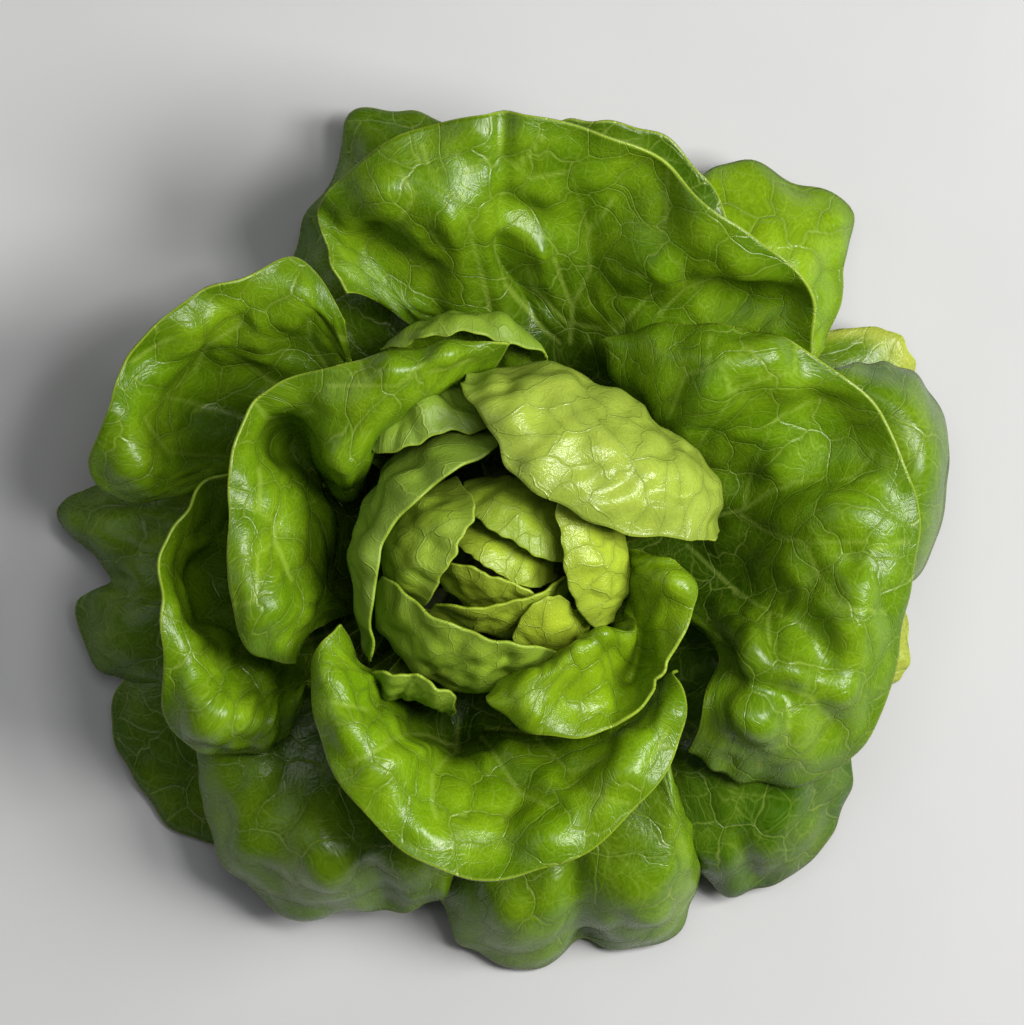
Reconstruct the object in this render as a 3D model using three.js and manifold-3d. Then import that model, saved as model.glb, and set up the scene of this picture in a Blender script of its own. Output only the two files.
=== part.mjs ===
// A butterhead lettuce as cut from its root: one short stem and 32 separate leaves.
// Millimetres, +Z up. The origin is the centre of the stem's cut face, which stands on the table.
// The head is seen from above with +Y at the back, +X to the right.
import * as THREE from "three";
import { mergeVertices } from "three/addons/utils/BufferGeometryUtils.js";
import Module from "manifold-3d";

// Driving dimensions.
const LEAF_THICKNESS = 1.2; // blade and midrib together, as one plain sheet
const CLEARANCE = 0.3; // free gap between neighbouring pieces
const STEM_RADIUS = 14; // at the widest, just above the cut
const STEM_HEIGHT = 50; // cut face to growing tip
const STEM_SIDES = 20;
const LOWEST_JOINT = 5; // height of the outermost leaf's joint on the stem
const JOINT_PITCH = 1.35; // climb of the stem from one leaf's joint to the next
const JOINT_HALF_WIDTH = 8; // half the width of a leaf's foot, along the stem's round
const LEAF_STEPS = { across: 10, along: 8 };
const SMALL_LEAF_STEPS = { across: 7, along: 7 };
const FEWEST_RAYS_OF_A_LARGE_LEAF = 7;

// Each leaf is a fan of rays from its foot on the stem to its rim.
// order counts outwards from the heart; toward is the compass bearing of the foot, in degrees from +X;
// neck is where the blade starts to widen: x, y, z and half its width.
// rings cross the rays, from the neck outwards, and the last ring is the rim. Every ring runs
// anticlockwise as seen from above, so that each leaf's inner face is on its left.
const LEAVES = [
  {
    name: "heart_leaf_core", order: 0, toward: 40, neck: [7, 6, 62, 7],
    rings: [
      [[16, -4, 72], [15, 2, 74], [10, 8, 75], [2, 13, 75], [-8, 14, 72]],
      [[12, -6, 80], [8, -1, 84], [2, 4, 85], [-4, 8, 84], [-12, 10, 79]],
      [[8, -8, 84], [1, -4, 86], [-5, 0, 87], [-10, 3, 86], [-15, 6, 82]],
    ],
  },
  {
    name: "heart_leaf_core_front", order: 1, toward: 230, neck: [-7, -7, 58, 8],
    rings: [
      [[-20, -3, 68], [-13, -9, 68], [-2, -13, 70], [8, -13, 70], [15, -12, 68]],
      [[-18, 0, 78], [-11, -4, 82], [-1, -7, 84], [8, -9, 82], [14, -10, 78]],
      [[-16, 3, 84], [-8, 0, 87], [0, -3, 88], [8, -6, 87], [14, -8, 83]],
    ],
  },
  {
    name: "heart_leaf_front_band", order: 2, toward: 275, neck: [1, -13, 56, 9],
    rings: [
      [[-21, -15, 67], [-10, -19, 67], [2, -20, 68], [13, -16, 68], [22, -8, 66]],
      [[-19, -11, 78], [-9, -14, 82], [2, -14, 83], [12, -11, 82], [20, -4, 78]],
      [[-17, -9, 84], [-8, -11, 87], [2, -10, 88], [11, -7, 88], [19, -1, 84]],
    ],
  },
  {
    name: "heart_leaf_yellow_tip", order: 3, toward: 310, neck: [12, -15, 54, 8],
    rings: [
      [[5, -26, 64], [12, -27, 66], [19, -25, 67], [25, -20, 67], [28, -13, 65]],
      [[4, -22, 76], [10, -20, 80], [16, -18, 82], [21, -16, 80], [25, -14, 74]],
      [[3, -18, 82], [8, -12, 86], [14, -8, 87], [19, -9, 86], [22, -14, 80]],
    ],
  },
  {
    name: "heart_leaf_back", order: 4, toward: 60, neck: [9, 16, 54, 10],
    rings: [
      [[25, 2, 68], [24, 12, 72], [17, 21, 74], [4, 26, 74], [-10, 24, 71]],
      [[21, 1, 80], [16, 8, 86], [9, 14, 88], [-1, 19, 88], [-11, 20, 82]],
      [[17, -2, 86], [11, 2, 90], [4, 6, 91], [-4, 11, 91], [-12, 15, 86]],
    ],
  },
  {
    name: "heart_leaf_left", order: 5, toward: 165, neck: [-18, 5, 52, 11],
    rings: [
      [[-13, 26, 72], [-26, 20, 72], [-33, 9, 70], [-33, -3, 68], [-27, -14, 66]],
      [[-9, 21, 86], [-20, 15, 89], [-26, 6, 89], [-28, -4, 85], [-24, -12, 78]],
      [[-3, 18, 93], [-8, 12, 95], [-12, 4, 95], [-16, -3, 92], [-18, -10, 86]],
    ],
  },
  {
    name: "heart_leaf_right", order: 6, toward: 355, neck: [20, -1, 52, 11],
    rings: [
      [[33, -16, 66], [38, -7, 70], [38, 3, 72], [36, 14, 73], [31, 26, 73]],
      [[29, -18, 76], [31, -8, 86], [30, 3, 90], [27, 13, 91], [22, 25, 91]],
      [[23, -18, 80], [20, -8, 90], [18, 2, 94], [16, 12, 95], [13, 24, 94]],
    ],
  },
  {
    name: "heart_leaf_front", order: 7, toward: 250, neck: [-8, -22, 50, 13],
    rings: [
      [[-37, -8, 64], [-34, -20, 64], [-24, -31, 64], [-9, -37, 64], [7, -37, 64], [21, -31, 62]],
      [[-35, -4, 77], [-30, -15, 81], [-20, -24, 84], [-7, -29, 84], [7, -30, 82], [20, -27, 75]],
      [[-31, 0, 84], [-24, -9, 89], [-15, -16, 92], [-3, -20, 92], [8, -22, 90], [20, -22, 83]],
    ],
  },
  {
    name: "cap_leaf", order: 8, toward: 45, neck: [25, 25, 46, 20],
    rings: [
      [[64, 12, 62], [65, 23, 66], [59, 33, 68], [48, 42, 70], [34, 53, 69], [14, 60, 68], [-9, 57, 66]],
      [[64, 8, 76], [57, 15, 88], [46, 22, 95], [33, 31, 99], [20, 39, 100], [4, 47, 97], [-11, 54, 86]],
      [[60, 4, 82], [48, 7, 92], [32, 10, 98], [16, 17, 102], [3, 27, 102], [-5, 40, 98], [-16, 51, 90]],
    ],
  },
  {
    name: "head_leaf_left", order: 9, toward: 160, neck: [-28, 8, 43, 17],
    rings: [
      [[-1, 42, 64], [-16, 41, 64], [-30, 34, 62], [-40, 18, 62], [-43, 0, 62], [-42, -15, 60],
        [-39, -28, 58]],
      [[0, 36, 88], [-14, 34, 90], [-26, 28, 90], [-36, 16, 90], [-40, 0, 90], [-40, -14, 86],
        [-38, -27, 76]],
      [[2, 30, 92], [-10, 27, 95], [-21, 21, 96], [-31, 11, 95], [-35, 0, 93], [-36, -12, 89],
        [-37, -27, 80]],
    ],
  },
  {
    name: "head_leaf_front_right", order: 10, toward: 315, neck: [21, -23, 42, 18],
    rings: [
      [[0, -34, 80], [12, -31, 90], [22, -23, 93], [31, -19, 90], [40, -19, 82], [44, -11, 83],
        [41, -3, 83], [39, 5, 78]],
      [[-5, -38, 85], [6, -41, 91], [20, -40, 88], [32, -41, 78], [39, -33, 68], [50, -19, 86],
        [55, -8, 92], [49, 2, 86]],
      [[-11, -38, 84], [3, -47, 88], [18, -52, 88], [34, -49, 86], [44, -37, 88], [53, -24, 90],
        [60, -9, 88], [54, 4, 82]],
    ],
  },
  {
    name: "head_leaf_crumpled", order: 11, toward: 232, neck: [-18, -28, 44, 9],
    rings: [
      [[-36, -34, 58], [-31, -38, 60], [-25, -40, 61], [-18, -42, 61], [-14, -44, 58]],
      [[-38, -31, 70], [-31, -35, 72], [-24, -37, 73], [-17, -40, 72], [-13, -44, 68]],
      [[-39, -29, 75], [-30, -31, 77], [-22, -33, 78], [-14, -37, 77], [-12, -43, 73]],
    ],
  },
  {
    name: "head_leaf_back_left", order: 12, toward: 118, neck: [-18, 30, 44, 12],
    rings: [
      [[-1, 53, 62], [-12, 55, 64], [-25, 54, 66], [-37, 46, 66], [-43, 35, 64]],
      [[-2, 46, 78], [-11, 47, 84], [-21, 48, 86], [-32, 42, 84], [-39, 34, 78]],
      [[0, 40, 80], [-8, 38, 85], [-18, 38, 87], [-28, 33, 86], [-38, 30, 80]],
    ],
  },
  {
    name: "rosette_leaf_front", order: 13, toward: 258, neck: [-12, -45, 42, 27],
    rings: [
      [[-40, -30, 64], [-39, -41, 76], [-31, -49, 75], [-20, -56, 62], [-4, -62, 62], [12, -60, 70],
        [26, -54, 74], [38, -44, 68], [46, -34, 58]],
      [[-48, -16, 80], [-50, -34, 89], [-42, -52, 89], [-27, -66, 83], [-6, -76, 79], [18, -74, 83],
        [36, -61, 87], [50, -43, 84], [55, -28, 73]],
      [[-52, -9, 84], [-58, -28, 82], [-53, -56, 84], [-35, -79, 86], [-8, -93, 86], [20, -89, 86],
        [43, -70, 86], [59, -44, 81], [59, -22, 74]],
    ],
  },
  {
    name: "rosette_leaf_left", order: 14, toward: 165, neck: [-43, 13, 39, 25],
    rings: [
      [[0, 60, 76], [-17, 54, 87], [-34, 44, 90], [-46, 28, 84], [-57, 30, 52], [-60, 16, 70],
        [-61, 0, 79], [-59, -12, 75], [-57, -20, 64]],
      [[4, 66, 84], [-16, 61, 94], [-38, 54, 95], [-55, 47, 84], [-67, 37, 66], [-72, 18, 84],
        [-71, -4, 90], [-67, -18, 84], [-60, -26, 72]],
      [[9, 70, 83], [-14, 67, 88], [-40, 61, 90], [-62, 57, 88], [-77, 42, 86], [-81, 18, 88],
        [-81, -8, 87], [-75, -26, 79], [-61, -34, 69]],
    ],
  },
  {
    name: "rosette_leaf_right", order: 15, toward: 12, neck: [58, 12, 38, 27],
    rings: [
      [[62, -24, 58], [72, -28, 72], [84, -28, 71], [88, -16, 65], [87, -2, 60], [86, 10, 62],
        [84, 28, 56], [72, 39, 64], [55, 45, 74], [34, 54, 56]],
      [[60, -46, 62], [77, -48, 67], [95, -44, 65], [104, -28, 69], [106, -6, 75], [108, 12, 73],
        [103, 32, 66], [88, 50, 75], [64, 61, 87], [31, 66, 62]],
      [[54, -60, 46], [78, -68, 40], [103, -61, 43], [115, -44, 50], [121, -14, 60], [125, 14, 68],
        [117, 38, 74], [100, 60, 76], [70, 72, 77], [26, 71, 58]],
    ],
  },
  {
    name: "head_leaf_back", order: 16, toward: 105, neck: [-5, 44, 37, 17],
    rings: [
      [[14, 60, 50], [5, 70, 53], [-13, 73, 54], [-26, 70, 53], [-35, 62, 51]],
      [[14, 62, 62], [5, 70, 67], [-13, 74, 70], [-25, 71, 68], [-33, 64, 63]],
      [[11, 60, 66], [2, 65, 71], [-12, 68, 73], [-23, 66, 71], [-31, 60, 66]],
    ],
  },
  {
    name: "rosette_leaf_front_left", order: 17, toward: 198, neck: [-46, -14, 30, 23],
    rings: [
      [[-66, 20, 46], [-74, 6, 42], [-80, -6, 42], [-80, -20, 50], [-77, -30, 58], [-71, -38, 58],
        [-64, -38, 54], [-56, -34, 48]],
      [[-74, 28, 56], [-86, 12, 54], [-93, -4, 58], [-91, -24, 74], [-88, -40, 76], [-78, -47, 70],
        [-69, -47, 61], [-59, -40, 52]],
      [[-78, 35, 66], [-93, 18, 72], [-100, 0, 76], [-100, -22, 78], [-101, -45, 66], [-87, -56, 56],
        [-71, -57, 52], [-60, -47, 48]],
    ],
  },
  {
    name: "rosette_leaf_back", order: 18, toward: 72, neck: [20, 58, 32, 28],
    rings: [
      [[62, 60, 44], [61, 75, 48], [46, 87, 60], [28, 91, 56], [10, 95, 62], [-6, 95, 72], [-20, 89, 66],
        [-29, 82, 50], [-28, 73, 46]],
      [[88, 63, 56], [78, 84, 68], [60, 98, 76], [38, 108, 76], [12, 117, 80], [-14, 116, 86],
        [-32, 106, 82], [-44, 97, 62], [-42, 81, 56]],
      [[102, 60, 60], [92, 84, 74], [72, 103, 82], [45, 121, 86], [14, 133, 88], [-16, 134, 86],
        [-42, 120, 80], [-56, 107, 72], [-50, 80, 66]],
    ],
  },
  {
    name: "rosette_leaf_back_left", order: 19, toward: 142, neck: [-40, 33, 26, 23],
    rings: [
      [[-42, 58, 40], [-52, 65, 46], [-64, 62, 44], [-74, 55, 40], [-82, 49, 40], [-88, 41, 42],
        [-88, 34, 42], [-82, 29, 38], [-74, 26, 34]],
      [[-46, 70, 52], [-60, 80, 62], [-76, 74, 54], [-90, 67, 62], [-101, 56, 58], [-109, 40, 64],
        [-109, 28, 60], [-101, 23, 52], [-88, 24, 42]],
      [[-46, 79, 56], [-60, 93, 58], [-78, 87, 66], [-96, 78, 68], [-110, 63, 70], [-119, 45, 68],
        [-123, 30, 56], [-114, 18, 48], [-98, 16, 44]],
    ],
  },
  {
    name: "wrapper_leaf_right", order: 20, toward: 15, neck: [58, 14, 28, 27],
    rings: [
      [[81, -12, 35], [89, 0, 40], [93, 17, 43], [92, 32, 43], [85, 45, 42], [73, 50, 39]],
      [[108, -12, 41], [119, 1, 48], [125, 22, 53], [124, 39, 55], [115, 52, 54], [98, 58, 47]],
      [[119, -14, 24], [130, 0, 22], [136, 22, 24], [135, 42, 26], [126, 59, 28], [106, 63, 32]],
    ],
  },
  {
    name: "wrapper_leaf_front_left", order: 21, toward: 238, neck: [-26, -40, 31, 25],
    rings: [
      [[-64, -34, 41], [-59, -43, 42], [-51, -53, 43], [-40, -60, 45], [-31, -60, 45], [-21, -61, 43],
        [-11, -59, 42], [-2, -55, 41]],
      [[-84, -49, 47], [-76, -63, 47], [-67, -79, 45], [-54, -88, 49], [-41, -88, 51], [-28, -88, 45],
        [-18, -82, 44], [-7, -74, 46]],
      [[-99, -54, 34], [-90, -76, 26], [-80, -95, 19], [-63, -108, 14], [-45, -107, 16], [-28, -108, 16],
        [-16, -100, 23], [-6, -84, 34]],
    ],
  },
  {
    name: "wrapper_leaf_front", order: 22, toward: 285, neck: [10, -46, 30, 27],
    rings: [
      [[-9, -69, 33], [1, -73, 38], [11, -74, 41], [21, -70, 44], [32, -66, 46], [40, -60, 46],
        [45, -51, 45], [46, -42, 44]],
      [[-15, -97, 22], [0, -102, 33], [13, -104, 36], [26, -99, 37], [39, -95, 43], [51, -86, 46],
        [53, -73, 47], [49, -60, 46]],
      [[-26, -106, 3], [-11, -118, 2], [10, -123, 2], [25, -118, 3], [43, -118, 3], [58, -107, 8],
        [60, -84, 22], [54, -66, 32]],
    ],
  },
  {
    name: "wrapper_leaf_back", order: 23, toward: 65, neck: [18, 42, 24, 22],
    rings: [
      [[50, 62, 34], [44, 71, 37], [36, 78, 39], [23, 83, 40], [10, 84, 39], [-2, 81, 36]],
      [[69, 89, 45], [60, 101, 51], [47, 112, 55], [29, 118, 57], [14, 119, 55], [-3, 113, 49]],
      [[76, 99, 50], [68, 111, 56], [52, 126, 62], [32, 134, 64], [18, 133, 62], [0, 126, 56]],
    ],
  },
  {
    name: "wrapper_leaf_front_right", order: 24, toward: 315, neck: [34, -34, 26, 25],
    rings: [
      [[42, -64, 29], [48, -64, 33], [55, -59, 36], [62, -51, 38], [68, -42, 39], [71, -31, 39],
        [71, -20, 37]],
      [[56, -86, 21], [62, -87, 28], [73, -82, 33], [83, -72, 36], [90, -61, 38], [93, -49, 39],
        [89, -37, 40]],
      [[57, -98, 4], [68, -101, 6], [81, -99, 7], [94, -90, 8], [103, -78, 12], [107, -64, 17],
        [103, -48, 26]],
    ],
  },
  {
    name: "wrapper_leaf_left", order: 25, toward: 183, neck: [-44, -3, 23, 25],
    rings: [
      [[-71, 25, 27], [-75, 12, 30], [-75, 3, 32], [-75, -6, 32], [-74, -13, 32], [-70, -21, 31],
        [-64, -26, 29], [-56, -30, 26]],
      [[-102, 27, 24], [-111, 14, 26], [-108, 2, 29], [-107, -6, 29], [-110, -13, 27], [-107, -25, 26],
        [-97, -33, 24], [-84, -38, 22]],
      [[-120, 31, 11], [-137, 17, 6], [-122, 1, 12], [-119, -5, 12], [-129, -11, 8], [-127, -26, 7],
        [-114, -37, 9], [-97, -45, 12]],
    ],
  },
  {
    name: "wrapper_leaf_back_right", order: 26, toward: 45, neck: [32, 32, 20, 22],
    rings: [
      [[66, 34, 28], [65, 44, 30], [60, 54, 32], [53, 60, 32], [46, 65, 32], [39, 67, 31], [31, 67, 28]],
      [[92, 58, 31], [91, 71, 32], [89, 83, 33], [85, 95, 34], [74, 101, 34], [60, 103, 32], [48, 100, 30]],
      [[104, 67, 22], [105, 80, 18], [105, 92, 15], [109, 108, 13], [90, 118, 15], [71, 124, 16],
        [55, 120, 18]],
    ],
  },
  {
    name: "wrapper_leaf_back_left", order: 27, toward: 108, neck: [-12, 42, 19, 23],
    rings: [
      [[7, 72, 28], [-3, 75, 30], [-12, 74, 32], [-20, 71, 32], [-28, 66, 32], [-35, 60, 30],
        [-42, 54, 27]],
      [[5, 108, 32], [-9, 112, 33], [-21, 113, 33], [-33, 109, 32], [-41, 100, 30], [-50, 91, 29],
        [-60, 80, 27]],
      [[0, 126, 21], [-14, 134, 20], [-28, 138, 17], [-45, 138, 14], [-51, 120, 13], [-61, 104, 12],
        [-73, 90, 13]],
    ],
  },
  {
    name: "lower_leaf_front_left", order: 28, toward: 213, neck: [-34, -22, 13, 20],
    rings: [
      [[-68, -13, 18], [-69, -22, 19], [-64, -32, 19], [-57, -43, 19], [-50, -50, 18], [-42, -53, 18],
        [-36, -53, 16]],
      [[-96, -22, 19], [-99, -35, 18], [-94, -48, 17], [-87, -59, 16], [-78, -68, 15], [-67, -71, 15],
        [-56, -68, 15]],
      [[-117, -27, 9], [-121, -40, 6], [-117, -57, 4], [-109, -72, 3], [-95, -85, 3], [-81, -87, 3],
        [-68, -80, 5]],
    ],
  },
  {
    name: "lower_leaf_back_right", order: 29, toward: 26, neck: [36, 17, 12, 19],
    rings: [
      [[62, 12, 16], [65, 23, 17], [63, 33, 17], [56, 41, 17], [47, 44, 15]],
      [[91, 29, 16], [100, 43, 17], [99, 55, 18], [88, 61, 18], [76, 62, 16]],
      [[114, 41, 8], [127, 56, 9], [124, 69, 13], [107, 73, 14], [90, 72, 12]],
    ],
  },
  {
    name: "lower_leaf_right", order: 30, toward: 345, neck: [36, -10, 10, 19],
    rings: [
      [[57, -30, 12], [62, -22, 14], [64, -12, 15], [62, -2, 15], [57, 7, 13]],
      [[88, -41, 11], [98, -31, 13], [101, -20, 14], [99, -8, 14], [91, 4, 12]],
      [[108, -46, 4], [121, -36, 4], [126, -29, 5], [124, -12, 5], [114, 2, 5]],
    ],
  },
  {
    name: "lower_leaf_front_right", order: 31, toward: 312, neck: [25, -27, 8, 17],
    rings: [
      [[36, -47, 8], [42, -46, 10], [47, -41, 11], [50, -36, 11], [50, -28, 9]],
      [[56, -74, 7], [66, -76, 9], [74, -69, 10], [78, -59, 11], [76, -48, 9]],
      [[68, -92, 2], [80, -96, 2], [89, -90, 2.5], [93, -78, 3], [90, -64, 4]],
    ],
  },
];

const stemFinish = new THREE.MeshStandardMaterial({ color: 0xdfe3b4, roughness: 0.7, metalness: 0 });
const heartFinish = new THREE.MeshStandardMaterial({ color: 0x9cb52c, roughness: 0.42, metalness: 0 });
const headFinish = new THREE.MeshStandardMaterial({ color: 0x6f9420, roughness: 0.42, metalness: 0 });
const outerFinish = new THREE.MeshStandardMaterial({ color: 0x4c7a18, roughness: 0.45, metalness: 0 });

const degrees = THREE.MathUtils.degToRad;

// Radius of the stem at a height: a short barrel that narrows to the growing tip.
function stemRadius(height) {
  const share = THREE.MathUtils.clamp(height / STEM_HEIGHT, 0, 1);
  return STEM_RADIUS * Math.sqrt(1 - share ** 2.6);
}

// The first two rows of a leaf's net: its foot, wrapped on the stem, and its neck.
function footRow(leaf, rays) {
  const height = LOWEST_JOINT + (LEAVES.length - 1 - leaf.order) * JOINT_PITCH;
  const radius = stemRadius(height) + LEAF_THICKNESS / 2 + 3 * CLEARANCE;
  const halfTurn = Math.min(JOINT_HALF_WIDTH / radius, 1.1);
  return Array.from({ length: rays }, (_, i) => {
    const side = (2 * i) / (rays - 1) - 1;
    const angle = degrees(leaf.toward) + side * halfTurn;
    return new THREE.Vector3(radius * Math.cos(angle), radius * Math.sin(angle), height);
  });
}

function neckRow(leaf, rays) {
  const [x, y, z, halfWidth] = leaf.neck;
  const out = new THREE.Vector2(x, y).normalize();
  return Array.from({ length: rays }, (_, i) => {
    const side = (2 * i) / (rays - 1) - 1;
    const inward = 0.35 * halfWidth * side * side; // the neck is a shallow gutter round the head
    const lift = 0.25 * halfWidth * side * side;
    return new THREE.Vector3(
      x - out.y * side * halfWidth - out.x * inward,
      y + out.x * side * halfWidth - out.y * inward,
      z + lift,
    );
  });
}

// Points of the leaf's middle surface: rows from foot to rim, each row from side to side.
function leafSurface(leaf, steps) {
  const rays = leaf.rings[0].length;
  const rings = leaf.rings.map((ring) => ring.map((p) => new THREE.Vector3(...p)));
  const rows = [footRow(leaf, rays), neckRow(leaf, rays), ...rings];
  const rayCurves = Array.from({ length: rays }, (_, i) => new THREE.CatmullRomCurve3(rows.map((r) => r[i])));
  return Array.from({ length: steps.along + 1 }, (_, j) => {
    const across = new THREE.CatmullRomCurve3(rayCurves.map((ray) => ray.getPointAt(j / steps.along)));
    return Array.from({ length: steps.across + 1 }, (_, i) => across.getPoint(i / steps.across));
  });
}

function surfaceNormal(surface, i, j) {
  const row = surface[j];
  const before = surface[Math.max(j - 1, 0)];
  const after = surface[Math.min(j + 1, surface.length - 1)];
  const sideways = row[Math.min(i + 1, row.length - 1)].clone().sub(row[Math.max(i - 1, 0)]);
  const outwards = after[i].clone().sub(before[i]);
  return sideways.cross(outwards).normalize();
}

// The same surface with its four edges pushed outwards by a margin.
function widened(surface, margin) {
  const last = { row: surface.length - 1, column: surface[0].length - 1 };
  const push = (edge, inner) => edge.clone().sub(inner).setLength(margin).add(edge);
  const wide = surface.map((row) => [
    push(row[0], row[1]),
    ...row.slice(1, -1),
    push(row[last.column], row[last.column - 1]),
  ]);
  wide[0] = wide[0].map((point, i) => push(point, wide[1][i]));
  wide[last.row] = wide[last.row].map((point, i) => push(point, wide[last.row - 1][i]));
  return wide;
}

// A closed sheet of even thickness: a flat box whose two large faces are bent to the surface.
function sheetGeometry(surface, thickness) {
  const along = surface.length - 1;
  const across = surface[0].length - 1;
  const box = new THREE.BoxGeometry(1, 1, 1, across, along, 1);
  box.deleteAttribute("normal");
  box.deleteAttribute("uv");
  const sheet = mergeVertices(box);
  const positions = sheet.attributes.position;
  for (let n = 0; n < positions.count; n++) {
    const i = Math.round((positions.getX(n) + 0.5) * across);
    const j = Math.round((positions.getY(n) + 0.5) * along);
    const moved = surfaceNormal(surface, i, j).multiplyScalar(positions.getZ(n) * thickness).add(surface[j][i]);
    positions.setXYZ(n, moved.x, moved.y, moved.z);
  }
  return sheet;
}

function stemGeometry() {
  const heights = [0, 3, 8, 16, 24, 32, 40, 46];
  const cutChamfer = 1.5;
  const profile = [new THREE.Vector2(0, 0)];
  for (const height of heights)
    profile.push(new THREE.Vector2(stemRadius(height) - (height === 0 ? cutChamfer : 0), height));
  profile.push(new THREE.Vector2(0, STEM_HEIGHT));
  return new THREE.LatheGeometry(profile, STEM_SIDES).rotateX(Math.PI / 2);
}

const wasm = await Module();
wasm.setup();

function toSolid(geometry) {
  const bare = geometry.clone();
  bare.deleteAttribute("normal");
  bare.deleteAttribute("uv");
  const merged = mergeVertices(bare);
  return new wasm.Manifold(
    new wasm.Mesh({
      numProp: 3,
      vertProperties: merged.attributes.position.array,
      triVerts: new Uint32Array(merged.index.array),
    }),
  );
}

function toGeometry(solid) {
  const mesh = solid.getMesh();
  const geometry = new THREE.BufferGeometry();
  geometry.setAttribute("position", new THREE.BufferAttribute(mesh.vertProperties, 3));
  geometry.setIndex(new THREE.BufferAttribute(mesh.triVerts, 1));
  geometry.computeVertexNormals();
  return geometry;
}

function largestPart(solid) {
  return solid.decompose().sort((a, b) => b.volume() - a.volume())[0];
}

function finishOf(leaf) {
  if (leaf.name.startsWith("heart") || leaf.name.startsWith("cap")) return heartFinish;
  return leaf.name.startsWith("head") ? headFinish : outerFinish;
}

const lettuce = new THREE.Group();
lettuce.name = "butterhead_lettuce";

const stem = new THREE.Mesh(stemGeometry(), stemFinish);
stem.name = "stem";
lettuce.add(stem);

// From the heart outwards, each leaf gives way to the leaves already in place.
const placed = [toSolid(stemGeometry())];
for (const leaf of LEAVES) {
  const steps = leaf.rings[0].length < FEWEST_RAYS_OF_A_LARGE_LEAF ? SMALL_LEAF_STEPS : LEAF_STEPS;
  const surface = leafSurface(leaf, steps);
  let blade = toSolid(sheetGeometry(surface, LEAF_THICKNESS));
  for (const neighbour of placed) blade = blade.subtract(neighbour);
  placed.push(toSolid(sheetGeometry(widened(surface, CLEARANCE), LEAF_THICKNESS + 2 * CLEARANCE)));
  const mesh = new THREE.Mesh(toGeometry(largestPart(blade)), finishOf(leaf));
  mesh.name = leaf.name;
  lettuce.add(mesh);
}

export default lettuce;
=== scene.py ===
"""A butterhead lettuce: a cut stem and 32 separate leaves.

Every leaf is a fan of rays from its foot on the stem to its rim. The blade is bent to that fan, puckered
between its veins, ruffled at its margin and given the thickness of a real leaf. Lengths in the tables are
millimetres; the scene is in metres.
"""

import math

import bmesh
import bpy
import numpy as np
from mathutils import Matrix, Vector


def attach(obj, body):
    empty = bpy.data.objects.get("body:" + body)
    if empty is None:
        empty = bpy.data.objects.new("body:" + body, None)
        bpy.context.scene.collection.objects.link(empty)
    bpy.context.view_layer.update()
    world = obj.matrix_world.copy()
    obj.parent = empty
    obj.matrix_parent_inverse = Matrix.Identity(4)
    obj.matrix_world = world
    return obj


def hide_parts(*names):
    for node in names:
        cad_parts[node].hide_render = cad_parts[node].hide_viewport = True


bl_info = {
    "name": "Butterhead lettuce",
    "version": (1, 0, 0),
    "blender": (4, 5, 0),
    "location": "View3D > Sidebar > Lettuce",
    "description": "Builds a butterhead lettuce leaf by leaf",
    "category": "Add Mesh",
}

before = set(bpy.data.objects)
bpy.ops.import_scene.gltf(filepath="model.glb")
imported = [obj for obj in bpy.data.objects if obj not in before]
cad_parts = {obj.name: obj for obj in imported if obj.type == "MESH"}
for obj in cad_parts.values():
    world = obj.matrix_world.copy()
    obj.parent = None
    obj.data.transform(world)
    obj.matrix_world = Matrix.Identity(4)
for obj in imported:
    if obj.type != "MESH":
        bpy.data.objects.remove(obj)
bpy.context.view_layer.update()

MM = 0.001

RAY_STEPS = 240  # steps along each ray before the blade is cut to its own rows
SHEET_STEPS = 181  # points of each smooth curve through the net
LOWEST = 0.9  # mm from the table to the lowest point of any leaf
VEIN_STEPS = 12  # straight pieces of a midrib
THICKNESS_LEVELS = 40
RIPPLE_EDGE = 18  # mm in from the rim where the ruffle ends

CAMERA_HEIGHT = 2.4
HEAD_MIDDLE = 0.045  # height at which the view is as wide as VIEW_WIDTH
VIEW_WIDTH = 0.3072
VIEW_CENTRE = (0.0036, 0.01575)
SENSOR_WIDTH = 36
TABLE_HALF_WIDTH = 2.5

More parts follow.
